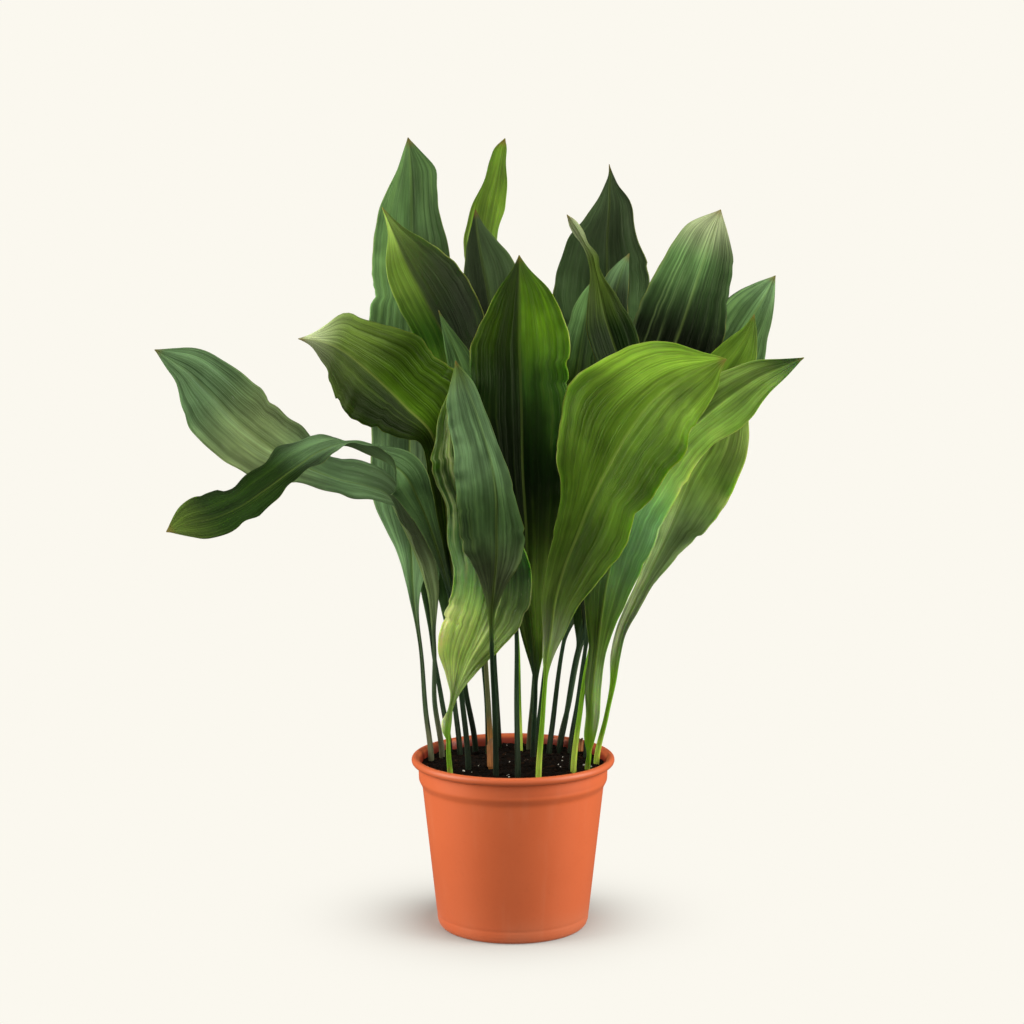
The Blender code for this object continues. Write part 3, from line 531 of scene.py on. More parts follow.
def scatter(name, count, small, large, stretch, sunk, seed, finish, reach=SOIL_EDGE - 0.003):
    """Lumps lying on the soil: the small ball, its corners pushed by chance, then stretched and turned."""
    chance = np.random.default_rng(seed)
    angle = chance.uniform(0, 2 * math.pi, count)
    far = reach * np.sqrt(chance.uniform(0, 1, count))
    size = small + (large - small) * chance.uniform(0, 1, count) ** 2.2
    lump = BALL[None] * (1 + chance.uniform(-0.32, 0.32, (count, 12, 1))) * size[:, None, None]
    lump = lump * np.stack([chance.uniform(1, stretch, count), np.ones(count),
                            chance.uniform(0.55, 0.9, count)], axis=1)[:, None]
    spin = chance.uniform(0, 2 * math.pi, count)
    cos, sin = np.cos(spin)[:, None], np.sin(spin)[:, None]
    x = far * np.cos(angle)
    y = far * np.sin(angle)
    spots = np.stack([cos * lump[..., 0] - sin * lump[..., 1] + x[:, None],
                      sin * lump[..., 0] + cos * lump[..., 1] + y[:, None],
                      lump[..., 2] + (soil_height(x, y) + size * (1 - 2 * sunk) * 0.5)[:, None]], axis=-1)
    faces = (BALL_FACES[None] + 12 * np.arange(count)[:, None, None]).reshape(-1, 3)
    mesh = bpy.data.meshes.new(name)
    mesh.from_pydata(spots.reshape(-1, 3).tolist(), [], faces.tolist())
    mesh.materials.append(finish)
    return place_piece(name, mesh, ())


crumb = soil_finish("soil_crumbs", tint(9, 5, 3), tint(31, 19, 12), 0.60)
bark = soil_finish("bark_bits", tint(26, 16, 10), tint(60, 38, 24), 0.50)
pearl = Finish("perlite")
mottle = pearl.noise(pearl.place(), 1500.0)
pearl.give(Base_Color=pearl.mix(mottle, tint(196, 192, 182), tint(238, 235, 228)),
           Roughness=0.85, Normal=pearl.bump(pearl.noise(pearl.place(), 2600.0), 0.5, 0.0004))
scatter("soil_crumbs", 1500, 0.0005, 0.0022, 1.6, 0.45, 11, crumb)
scatter("bark_bits", 150, 0.0006, 0.0018, 3.4, 0.40, 12, bark)
scatter("perlite_grains", 46, 0.0005, 0.0014, 1.2, 0.35, 13, pearl.material)
print("crumbs laid")

# %% [markdown]
# ## The rootstock
# A cast iron plant has no trunk. Its stalks rise from a thick creeping rootstock that lies just under
# the soil, so it stays as the plain solid it is and only gets a finish: pale brown bark with rings.

# %% Rootstock finish
root = Finish("rootstock_bark")
rings = root.noise(root.add("Mapping", {"Vector": root.place(), "Scale": (260.0, 260.0, 40.0)}), 1.0, 3.0)
root.give(Base_Color=root.mix(rings, tint(96, 70, 42), tint(150, 116, 74)), Roughness=0.85,
          Normal=root.bump(rings, 0.6, 0.001))
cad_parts["rhizome"].data.materials.clear()
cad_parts["rhizome"].data.materials.append(root.material)
print("rootstock finished")

# %% [markdown]
# ## The shape of a leaf
# Each leaf is one thing from foot to tip: a round stalk with a channel along its upper side that
# flattens into a long pointed blade. So it is one surface with two parameters. One runs along the
# leaf's centre line; the other runs round its section. The table gives the centre line as a few
# places and, on the blade, how far the surface reaches to the left and to the right of it, all in
# millimetres. A face direction says which way the upper side looks at even stations, and a fold angle
# says how steeply the halves rise from the midrib.

# %% The leaves, in millimetres
LEAVES = {
    "leaf_tall_left": {
        "green": "grey",
        "stalk": [(-69, 16, 139), (-74, 30, 178)],
        "blade": [
            (-78, 40, 227, 0, 0), (-84, 46, 269, 3, 6), (-86, 54, 308, 12, 24),
            (-87, 62, 350, 31, 36), (-88, 74, 403, 32, 37), (-87, 88, 461, 34, 38),
            (-87, 102, 520, 35, 38), (-87, 112, 562, 33, 33), (-87, 118, 591, 29, 26),
            (-87, 122, 612, 21, 23), (-88, 126, 631, 11, 21), (-89, 128, 646, 5, 9),
            (-90, 130, 657, 0, 0)],
        "face": [(-0.3, -1, 0), (-0.15, -1, 0), (-0.1, -1, 0.1)],
        "fold": [25, 12, 6]},
    "leaf_folded_left": {
        "green": "deep",
        "stalk": [(-21, 38, 139), (-22, 26, 183)],
        "blade": [
            (-26, 24, 231, 0, 0), (-30, 24, 290, 12, 15), (-35, 22, 367, 22, 32),
            (-42, 28, 438, 26, 54), (-55, 28, 489, 25, 56), (-74, 24, 528, 24, 53),
            (-89, 20, 557, 18, 36), (-99, 15, 582, 4, 12), (-107, 10, 602, 0, 0)],
        "face": [(0.2, -1, 0), (0.25, -1, 0), (0.3, -1, 0)],
        "fold": [-25, -38, -30]},
    "leaf_left_olive": {
        "green": "olive",
        "stalk": [(-32, 44, 139), (-40, 26, 196)],
        "blade": [
            (-48, 12, 276, 0, 0), (-53, 0, 328, 7, 13), (-57, -14, 376, 12, 30),
            (-67, -30, 422, 13, 47), (-85, -46, 443, 27, 48), (-102, -60, 462, 38, 46),
            (-120, -74, 480, 41, 40), (-135, -86, 493, 30, 30), (-141, -90, 497, 25, 28),
            (-148, -94, 500, 18, 17), (-158, -99, 503, 7, 5), (-168, -104, 504, 0, 0)],
        "face": [(-0.3, -1, 0), (-0.2, -1, 0.2), (-0.1, -1, 0.5), (0, -1, 0.4)],
        "fold": [24, 14, 8]},
    "leaf_far_left_upper": {
        "green": "blue",
        "stalk": [(-60, 26, 139), (-66, 18, 189)],
        "blade": [
            (-66, 18, 236, 0, 0), (-71, 18, 283, 12, 12), (-83, 17, 319, 18, 18),
            (-96, 14, 347, 28, 22), (-106, 10, 365, 34, 24), (-122, 4, 372, 39, 28),
            (-143, -2, 378, 40, 32), (-170, -12, 391, 34, 34), (-197, -21, 409, 47, 34),
            (-223, -30, 430, 39, 33), (-250, -40, 460, 30, 28), (-263, -45, 473, 17, 22),
            (-275, -50, 482, 8, 12), (-287, -54, 491, 0, 0)],
        "face": [(1, -0.5, 0), (0.9, -0.25, 0.6), (0.2, -0.35, 1), (0.1, -1, 0.8), (0.1, -1, 0.5)],
        "fold": [30, 12, 6]},
    "leaf_far_left_lower": {
        "green": "olive", "wavy": 1.5,
        "stalk": [(-37, -22, 139), (-43, -26, 207)],
        "blade": [
            (-51, -34, 284, 0, 0), (-59, -38, 318, 4, 4), (-69, -44, 350, 9, 9),
            (-77, -49, 370, 15, 14), (-85, -55, 387, 19, 17), (-99, -63, 400, 21, 19),
            (-116, -73, 409, 26, 26), (-135, -85, 418, 27, 27), (-153, -96, 414, 29, 29),
            (-171, -108, 403, 31, 31), (-192, -120, 388, 33, 33), (-214, -133, 374, 34, 33),
            (-233, -142, 367, 31, 31), (-252, -149, 364, 22, 21), (-268, -154, 359, 0, 0)],
        "face": [(0, -1, 0), (-0.3, -1, 0.4), (-0.15, -0.1, 1), (-0.35, -0.35, 0.9), (-0.4, -0.6, 0.7)],
        "fold": [20, 12, 6]},
    "leaf_centre_bright": {
        "green": "fresh",
        "stalk": [(17, 24, 139), (18, 14, 173)],
        "blade": [
            (19, 10, 199, 0, 0), (17, 4, 243, 9, 11), (13, -2, 286, 17, 21), (11, -8, 338, 27, 30),
            (8, -11, 388, 37, 38), (7, -10, 438, 43, 41), (6, -7, 466, 43, 41), (5, -3, 494, 38, 41),
            (5, 1, 515, 28, 36), (5, 5, 535, 17, 25), (5, 9, 551, 6, 9), (5, 12, 563, 0, 0)],
        "face": [(0, -1, 0), (0, -1, 0.1), (0, -1, -0.1)],
        "fold": [22, 10, 8]},
    "leaf_front_left": {
        "green": "grey", "pleat": 2.2, "wavy": 1.4,
        "stalk": [(-14, -43, 139), (-15, -62, 198)],
        "blade": [
            (-17, -86, 252, 0, 0), (-17, -94, 285, 3, 3), (-15, -100, 308, 11, 10),
            (-13, -106, 333, 24, 20), (-13, -110, 357, 30, 23), (-13, -112, 378, 32, 16),
            (-16, -113, 402, 30, 12), (-22, -113, 425, 26, 9), (-29, -112, 447, 24, 8),
            (-36, -110, 466, 16, 7), (-45, -107, 487, 0, 0)],
        "face": [(0, -1, 0), (-0.1, -1, 0), (-0.2, -1, 0.1)],
        "fold": [20, 10, 6]},
    "leaf_front_left_bright": {
        "green": "fresh", "pleat": 3.2, "wavy": 1.3,
        "stalk": [(-52, -36, 139), (-53, -42, 158)],
        "blade": [
            (-53, -45, 168, 0, 0), (-53, -47, 176, 5, 1), (-52, -49, 185, 6, 1), (-51, -52, 195, 2, 1),
            (-48, -57, 210, 3, 4), (-45, -60, 223, 10, 9), (-40, -64, 240, 21, 16), (-30, -71, 266, 29, 27),
            (-23, -76, 291, 27, 36), (-21, -80, 316, 27, 36), (-22, -82, 341, 30, 29),
            (-23, -84, 366, 30, 24), (-26, -85, 394, 36, 20), (-30, -85, 419, 35, 15),
            (-36, -84, 442, 25, 10), (-40, -82, 461, 12, 7), (-44, -80, 480, 0, 0)],
        "face": [(-0.2, -1, 0), (0, -1, 0), (-0.2, -1, 0.1)],
        "fold": [12, 6, 6]},
    "leaf_front_right_broad": {
        "green": "fresh",
        "stalk": [(21, -49, 139), (24, -64, 190)],
        "blade": [
            (26, -70, 221, 0, 0), (28, -76, 246, 4, 5), (31, -81, 268, 7, 12),
            (34, -87, 293, 11, 20), (41, -94, 321, 14, 30), (51, -100, 348, 19, 38),
            (62, -107, 377, 28, 40), (75, -114, 404, 46, 43), (89, -122, 430, 59, 46),
            (108, -130, 457, 52, 46), (133, -138, 478, 30, 35), (148, -142, 486, 13, 24),
            (157, -144, 490, 5, 12), (164, -146, 492, 0, 0)],
        "face": [(-0.3, -1, 0.1), (-0.1, -1, 0.3), (0, -1, 0.6), (0, -1, 0.5)],
        "fold": [16, 8, 4]},
    "leaf_right_upper": {
        "green": "fresh",
        "stalk": [(62, -18, 139), (63, -26, 152)],
        "blade": [
            (63, -28, 163, 4, 4), (64, -31, 187, 4, 9), (66, -35, 215, 7, 9), (69, -40, 242, 7, 9),
            (72, -44, 269, 13, 15), (76, -49, 299, 21, 24), (83, -55, 333, 26, 30),
            (97, -63, 371, 29, 33), (119, -73, 406, 30, 29), (146, -84, 435, 27, 23),
            (172, -94, 458, 21, 25), (194, -102, 474, 14, 17), (212, -108, 483, 6, 9),
            (227, -113, 490, 0, 0)],
        "face": [(-0.6, -1, 0), (-0.3, -1, 0.2), (0.1, -1, 0.5)],
        "fold": [16, 10, 4]},
    "leaf_right_lower": {
        "green": "fresh",
        "stalk": [(70, 1, 139), (78, -6, 181)],
        "blade": [
            (83, -10, 209, 2, 2), (86, -13, 233, 5, 3), (90, -16, 254, 5, 4), (100, -20, 278, 6, 6),
            (111, -24, 302, 7, 8), (122, -29, 326, 9, 15), (134, -35, 355, 17, 27),
            (147, -41, 385, 27, 33), (162, -47, 412, 29, 28), (172, -52, 440, 20, 19),
            (178, -57, 457, 10, 10), (182, -61, 470, 0, 0)],
        "face": [(-0.3, -1, 0), (0, -1, 0.2), (0.1, -1, 0.3)],
        "fold": [16, 8, 4]},
    "leaf_right_light_tip": {
        "green": "deep",
        "stalk": [(40, 44, 139), (45, 45, 167)],
        "blade": [
            (55, 48, 226, 0, 0), (64, 48, 256, 14, 9), (73, 48, 286, 19, 19), (84, 49, 320, 26, 26),
            (97, 53, 367, 31, 30), (114, 59, 417, 36, 35), (131, 67, 467, 39, 38),
            (145, 74, 506, 40, 36), (156, 80, 538, 36, 29), (164, 85, 561, 30, 24),
            (170, 88, 579, 22, 13), (176, 92, 597, 0, 0)],
        "face": [(-0.3, -1, 0), (-0.1, -1, 0.1), (0, -1, 0.1)],
        "fold": [20, 12, 8]},
    "leaf_right_back_grey": {
        "green": "grey",
        "stalk": [(40, 58, 139), (48, 73, 173)],
        "blade": [
            (58, 92, 217, 0, 0), (85, 116, 283, 19, 18), (121, 126, 361, 29, 26),
            (163, 132, 431, 33, 30), (192, 128, 479, 29, 29), (207, 134, 502, 27, 19),
            (218, 139, 520, 18, 10), (228, 144, 538, 0, 0)],
        "face": [(-0.1, -1, 0), (0.1, -1, 0.1), (0, -1, 0.1)],
        "fold": [20, 10, 6]},
    "leaf_right_bright": {
        "green": "fresh",
        "stalk": [(50, -29, 139), (55, -34, 188)],
        "blade": [
            (63, -22, 236, 0, 0), (77, -16, 281, 10, 10), (100, -8, 338, 18, 18),
            (128, 2, 395, 23, 23), (157, 12, 443, 25, 25), (176, 18, 473, 15, 25),
            (188, 22, 488, 11, 17), (195, 25, 499, 6, 8), (200, 28, 513, 0, 0)],
        "face": [(-0.1, -1, 0.1), (0, -1, 0.2), (0.1, -1, 0.1)],
        "fold": [16, 8, 6]},
    "leaf_back_dark": {
        "green": "dark",
        "stalk": [(31, 42, 139), (34, 48, 163)],
        "blade": [
            (43, 64, 227, 0, 0), (58, 80, 285, 18, 18), (70, 94, 357, 30, 30),
            (77, 104, 425, 36, 37), (80, 110, 485, 42, 39), (81, 119, 527, 45, 36),
            (81, 124, 551, 42, 34), (81, 128, 569, 35, 27), (82, 131, 586, 21, 23),
            (83, 134, 601, 12, 19), (83, 137, 614, 5, 10), (84, 139, 624, 2, 3),
            (83, 141, 634, 0, 0)],
        "face": [(0, -1, 0), (-0.1, -1, 0), (0.1, -1, 0)],
        "fold": [20, 10, 8]},
    "leaf_right_folded": {
        "green": "olive",
        "stalk": [(49, -18, 139), (55, -12, 192)],
        "blade": [
            (60, -6, 237, 0, 0), (66, 6, 277, 10, 10), (74, 16, 334, 17, 18), (81, 23, 392, 20, 21),
            (86, 26, 434, 21, 21), (89, 27, 462, 21, 21), (87, 27, 478, 22, 21),
            (83, 26, 490, 22, 21), (76, 24, 512, 19, 18), (72, 22, 532, 11, 11),
            (70, 21, 543, 7, 6), (68, 20, 552, 5, 4), (66, 18, 561, 5, 5),
            (60, 15, 571, 3, 3), (53, 11, 584, 5, 5), (49, 9, 590, 4, 4), (44, 8, 596, 0, 0)],
        "face": [(0, -1, 0), (0, -1, 0), (0, -1, 0), (0.1, -1, 0), (0.2, -1, 0), (0.3, -1, 0),
                 (0.35, -1, 0), (-0.3, -1, 0.1), (-0.6, -0.8, 0.2)],
        "fold": [12, 10, 14, 20]},
    "leaf_back_yellow_edge": {
        "green": "grey",
        "stalk": [(20, 47, 139), (24, 49, 178)],
        "blade": [
            (29, 52, 221, 0, 0), (43, 54, 294, 13, 12), (58, 58, 370, 19, 17), (71, 62, 438, 22, 20),
            (79, 66, 493, 22, 19), (85, 68, 522, 17, 12), (90, 69, 541, 12, 8), (94, 70, 553, 5, 4),
            (98, 71, 561, 0, 0)],
        "face": [(0, -1, 0), (0.2, -1, 0), (0.2, -1, 0)],
        "fold": [20, 10, 8]},
    "leaf_back_grey": {
        "green": "grey",
        "stalk": [(14, 58, 139), (17, 52, 182)],
        "blade": [
            (20, 46, 226, 0, 0), (29, 44, 296, 12, 12), (39, 43, 364, 19, 20), (48, 43, 432, 22, 22),
            (54, 43, 470, 18, 19), (59, 44, 499, 14, 16), (63, 45, 519, 11, 10), (65, 45, 532, 5, 5),
            (67, 46, 540, 0, 0)],
        "face": [(0, -1, 0), (-0.2, -1, 0), (-0.2, -1, 0)],
        "fold": [20, 10, 8]},
    "leaf_tall_centre": {
        "green": "fresh",
        "stalk": [(6, 48, 139), (5, 56, 180)],
        "blade": [
            (4, 66, 227, 0, 0), (-6, 88, 306, 11, 18), (-16, 108, 390, 17, 25),
            (-25, 122, 466, 17, 24), (-29, 130, 518, 17, 25), (-28, 136, 554, 17, 25),
            (-25, 138, 575, 18, 21), (-21, 142, 601, 16, 23), (-16, 145, 620, 11, 17),
            (-12, 147, 637, 10, 10), (-9, 149, 649, 7, 6), (-7, 151, 656, 0, 0)],
        "face": [(-0.6, -0.8, 0), (-0.6, -0.8, 0), (-0.7, -0.7, 0)],
        "fold": [20, 12, 8]},
    "leaf_centre_dark": {
        "green": "dark",
        "stalk": [(4, -46, 139), (3, -21, 197)],
        "blade": [
            (3, 0, 244, 0, 0), (0, 34, 306, 13, 12), (-6, 68, 378, 22, 21), (-13, 84, 444, 27, 26),
            (-20, 96, 516, 24, 28), (-26, 100, 550, 16, 27), (-29, 102, 568, 11, 16),
            (-31, 104, 582, 5, 7), (-32, 106, 597, 0, 0)],
        "face": [(0.1, -1, 0), (0.1, -1, 0), (0.2, -1, 0)],
        "fold": [20, 14, 8]},
    "leaf_left_teal_tip": {
        "green": "blue",
        "stalk": [(-18, -18, 139), (-20, -16, 185)],
        "blade": [
            (-23, -14, 242, 0, 0), (-23, -4, 304, 8, 10), (-26, 4, 369, 13, 15),
            (-32, 8, 427, 15, 16), (-40, 8, 465, 12, 14), (-50, 6, 491, 7, 8), (-57, 5, 506, 2, 4),
            (-61, 4, 518, 0, 0)],
        "face": [(-0.2, -1, 0), (-0.2, -1, 0), (-0.2, -1, 0)],
        "fold": [20, 14, 8]},
    "leaf_rear_left": {
        "green": "deep",
        "stalk": [(-54, 45, 139), (-61, 56, 181)],
        "blade": [
            (-69, 68, 226, 0, 0), (-73, 90, 288, 11, 11), (-81, 122, 362, 23, 24),
            (-88, 150, 429, 29, 29), (-91, 172, 488, 25, 25), (-90, 186, 531, 14, 14),
            (-88, 196, 566, 0, 0)],
        "face": [(0, -1, 0), (0, -1, 0.1), (0, -1, 0.3)],
        "fold": [20, 14, 8]},
    "leaf_rear_low_left": {
        "green": "deep",
        "stalk": [(-45, 30, 139), (-50, 46, 183)],
        "blade": [
            (-54, 60, 224, 0, 0), (-54, 88, 271, 13, 13), (-58, 128, 317, 24, 23),
            (-65, 170, 355, 30, 29), (-73, 212, 381, 29, 27), (-81, 248, 395, 19, 17),
            (-89, 280, 401, 0, 0)],
        "face": [(0, -1, 0), (0, -1, 0.6), (0, -0.7, 1)],
        "fold": [20, 14, 8]},
    "leaf_rear_centre": {
        "green": "deep",
        "stalk": [(-12, 60, 139), (-14, 69, 179)],
        "blade": [
            (-16, 80, 224, 0, 0), (-11, 108, 276, 13, 13), (-4, 140, 333, 25, 25),
            (2, 170, 391, 31, 31), (5, 192, 442, 29, 29), (6, 208, 490, 16, 16), (6, 218, 525, 0, 0)],
        "face": [(0, -1, 0), (0, -1, 0.1), (0, -1, 0.3)],
        "fold": [20, 14, 8]},
    "leaf_rear_right": {
        "green": "deep",
        "stalk": [(49, 37, 139), (56, 72, 176)],
        "blade": [
            (64, 112, 218, 0, 0), (77, 138, 271, 13, 13), (95, 162, 330, 26, 25),
            (113, 182, 390, 31, 31), (131, 196, 442, 27, 27), (146, 206, 486, 16, 16),
            (157, 214, 521, 0, 0)],
        "face": [(0, -1, 0), (0, -1, 0.1), (0, -1, 0.3)],
        "fold": [20, 14, 8]},
    "leaf_rear_low_right": {
        "green": "deep",
        "stalk": [(62, 28, 139), (68, 66, 175)],
        "blade": [
            (75, 112, 218, 0, 0), (88, 165, 257, 13, 13), (104, 210, 300, 26, 27),
            (122, 248, 335, 33, 36), (138, 276, 361, 32, 35), (150, 296, 378, 18, 20),
            (160, 310, 385, 0, 0)],
        "face": [(0, -1, 0), (0, -1, 0.6), (0, -0.7, 1)],
        "fold": [20, 14, 8]},
}
STALK_FOOT = 0.0026
STALK_NECK = 0.0017
FOOT_BOTTOM = 0.125
print("leaves", len(LEAVES))


# %% Centre line of a leaf
def smooth(knots, values, at):
    """A smooth curve through the values: cubic pieces whose slopes are the central differences."""
    slope = np.gradient(values, knots, axis=0)
    k = np.clip(np.searchsorted(knots, at, side="right") - 1, 0, len(knots) - 2)
    span = (knots[k + 1] - knots[k])[:, None]
    f = (at - knots[k])[:, None] / span
    return (values[k] * (1 + 2 * f) * (1 - f) ** 2 + slope[k] * span * f * (1 - f) ** 2
            + values[k + 1] * f * f * (3 - 2 * f) - slope[k + 1] * span * f * f * (1 - f))


def eased(values, share):
    """Values at even stations, blended with an ease in and out between them."""
    values = np.asarray(values, dtype=float)
    if values.ndim == 1:
        values = values[:, None]
    place = share * (len(values) - 1)
    k = np.clip(place.astype(int), 0, len(values) - 2)
    f = np.clip(place - k, 0.0, 1.0)[:, None]
    f = f * f * (3 - 2 * f)
    return values[k] * (1 - f) + values[k + 1] * f


def leaf_path(leaf):
    """Knots by length, the places there, the reach left and right, and the length up to the blade."""
    stalk = np.array(leaf["stalk"], dtype=float) * 0.001
    blade = np.array(leaf["blade"], dtype=float) * 0.001
    foot = stalk[0] * (1, 1, 0) + (0, 0, FOOT_BOTTOM)
    path = np.vstack([foot, stalk, blade[:, :3]])
    reach = np.vstack([np.zeros((len(stalk) + 1, 2)), blade[:, 3:]])
    knots = np.concatenate([[0.0], np.cumsum(np.linalg.norm(np.diff(path, axis=0), axis=1))])
    return knots, path, reach, knots[len(stalk) + 1]


def wander(at, chance, count):
    """An aimless line, about -1..1: three sine waves of chance phase, near count waves over 0..1."""
    rate = count * chance.uniform(0.6, 1.5, 3)
    phase = chance.uniform(0, 1, 3)
    return np.sin(2 * math.pi * (rate * at[..., None] + phase)).sum(axis=-1) / 2.2


def nicks(at, chance):
    """Three small dents at chance places, each a narrow bell up to a tenth deep, with one side steeper."""
    where = chance.uniform(0.30, 0.97, 3)
    depth = chance.uniform(0.015, 0.085, 3)
    gap = at[..., None] - where
    narrow = np.where(gap > 0, 0.005, 0.016)
    return (depth * np.exp(-(gap / narrow) ** 2)).sum(axis=-1)


# %% [markdown]
# The section is where the life is. On the blade it is thin, with a groove over the midrib and a ridge
# under it. From the midrib each half rises and then eases over towards its margin. Long pleats run
# along the leaf and draw together at both ends, the margins wave a few millimetres up and down, and
# the whole blade swells a little here and there. Every amount is a share of the local width, so it
# dies away by itself at the neck and the tip.

# %% Surface of a leaf
def leaf_surface(leaf, rows, ring, seed):
    """centre + across * x + normal * z for every row along the leaf and every point of the section.

    x = half width * cos(fold) * s, with s from -1 at the left margin to 1 at the right one.
    z = rise of the fold + pleats + margin waves + swelling, plus or minus the thickness at s.
    """
    chance = np.random.default_rng(seed)
    knots, path, reach, neck = leaf_path(leaf)
    end = knots[-1]
    stalk_rows = rows // 4
    at = np.concatenate([np.linspace(0.0, neck, stalk_rows, endpoint=False),
                         np.linspace(neck, end, rows - stalk_rows)])
    centre = smooth(knots, path, at)
    half = np.clip(smooth(knots, reach, at), 0.0, None)
    tangent = unit(smooth(knots, path, np.clip(at + 1e-4, 0, end)) -
                   smooth(knots, path, np.clip(at - 1e-4, 0, end)))
    u = np.clip((at - neck) / (end - neck), 0.0, 1.0)
    look = eased(leaf["face"], u)
    normal = unit(look - np.sum(look * tangent, axis=1, keepdims=True) * tangent)
    across = np.cross(tangent, normal)
    calm = np.clip(6 * u, 0, 1) * np.clip(7 * (1 - u), 0, 1)
    ragged = [0.030 * wander(u, chance, 5) + 0.009 * wander(u, chance, 17) - nicks(u, chance)
              for _ in range(2)]
    half = half * (1 + calm[:, None] * np.stack(ragged, axis=1))

    turn = np.linspace(0, 2 * math.pi, ring, endpoint=False)[None, :]
    even = np.where(turn <= math.pi, 1 - 2 * turn / math.pi, 2 * turn / math.pi - 3)
    flat = np.clip(9 * u, 0, 1)[:, None]
    flat = flat * flat * (3 - 2 * flat)
    s = np.cos(turn) * (1 - flat) + even * flat
    upper = turn <= math.pi

    stalk = np.where(u <= 0, STALK_FOOT + (STALK_NECK - STALK_FOOT) * np.clip(at / neck, 0, 1), STALK_NECK)
    core = np.where(u <= 0, stalk, STALK_NECK * (1 - u) + 0.0003 * u)
    side = np.where(s > 0, half[:, 1:2], half[:, 0:1])
    width = np.hypot(side, core[:, None])
    off = np.abs(s) * width

    channel = 1 - 0.50 * np.clip(at / neck, 0, 1)[:, None] * np.exp(-(s / 0.45) ** 2) * upper
    round_z = stalk[:, None] * np.sin(turn) * channel
    rib = 0.0004 + (STALK_NECK - 0.0004) * np.exp(-3.6 * u)[:, None]
    skin = 0.00024 * np.sqrt(np.clip(1 - s ** 8, 0, 1))
    top_z = skin - 0.55 * rib * np.exp(-(off / (0.9 * rib + 0.0004)) ** 2)
    low_z = -skin - 1.15 * rib * np.exp(-(off / (0.8 * rib + 0.0002)) ** 2)
    edge_z = round_z * (1 - flat) + np.where(upper, top_z, low_z) * flat

    fold = np.radians(eased(leaf["fold"], u)) * np.clip(8 * u, 0, 1)[:, None]
    a = np.abs(s)
    rise = np.sin(fold) * width * (a + 0.45 * (a - a * a))
    pleats = 0.0
    for k in range(7):
        waves = chance.uniform(2.2, 7.5)
        drift = 0.5 * wander(u, chance, 1.2)[:, None]
        pleats = pleats + np.cos(2 * math.pi * (waves * s + chance.random() + drift)) / (1 + 0.16 * waves)
    pleats = pleats * width * 0.0034 * leaf.get("pleat", 1.0)
    ripple = [wander(u, chance, 4.2) + 0.35 * wander(u, chance, 12) for _ in range(2)]
    wave = np.where(s > 0, ripple[0][:, None], ripple[1][:, None])
    wave = wave * a ** 3 * np.minimum(0.10 * width, 0.0034) * leaf.get("wavy", 1.0)
    swell = 0.050 * width * wander(u, chance, 1.8)[:, None] * np.cos(math.pi * s / 2 + 0.6)
    lift = rise + (pleats + wave + swell) * calm[:, None]

    x = np.cos(fold) * width * s
    points = centre[:, None] + across[:, None] * x[..., None] + normal[:, None] * (lift + edge_z)[..., None]
    along = np.where(u > 0, u, at / neck - 1.0)[:, None]
    return points, {"along": along, "across": s, "off": off * 1000.0, "under": 1.0 - upper}


print("leaf surface ready")

# %% [markdown]
# ## The finish of a leaf
# A leaf of this plant is dark and satiny, and no two of its greens agree. Fine parallel veins run the
# whole way and draw together at the ends, so the pattern is made from the numbers stored on the leaf,
# its place along and across, and not from space. On it lie broader light and dark bands, slow clouds,
# the paler midrib, a thin yellow-green rim that browns at the tip, and on the bluish leaves the dry
# white marks that hard water leaves. The underside is paler and duller. The stalk has a colour of its
# own and darkens towards the soil.

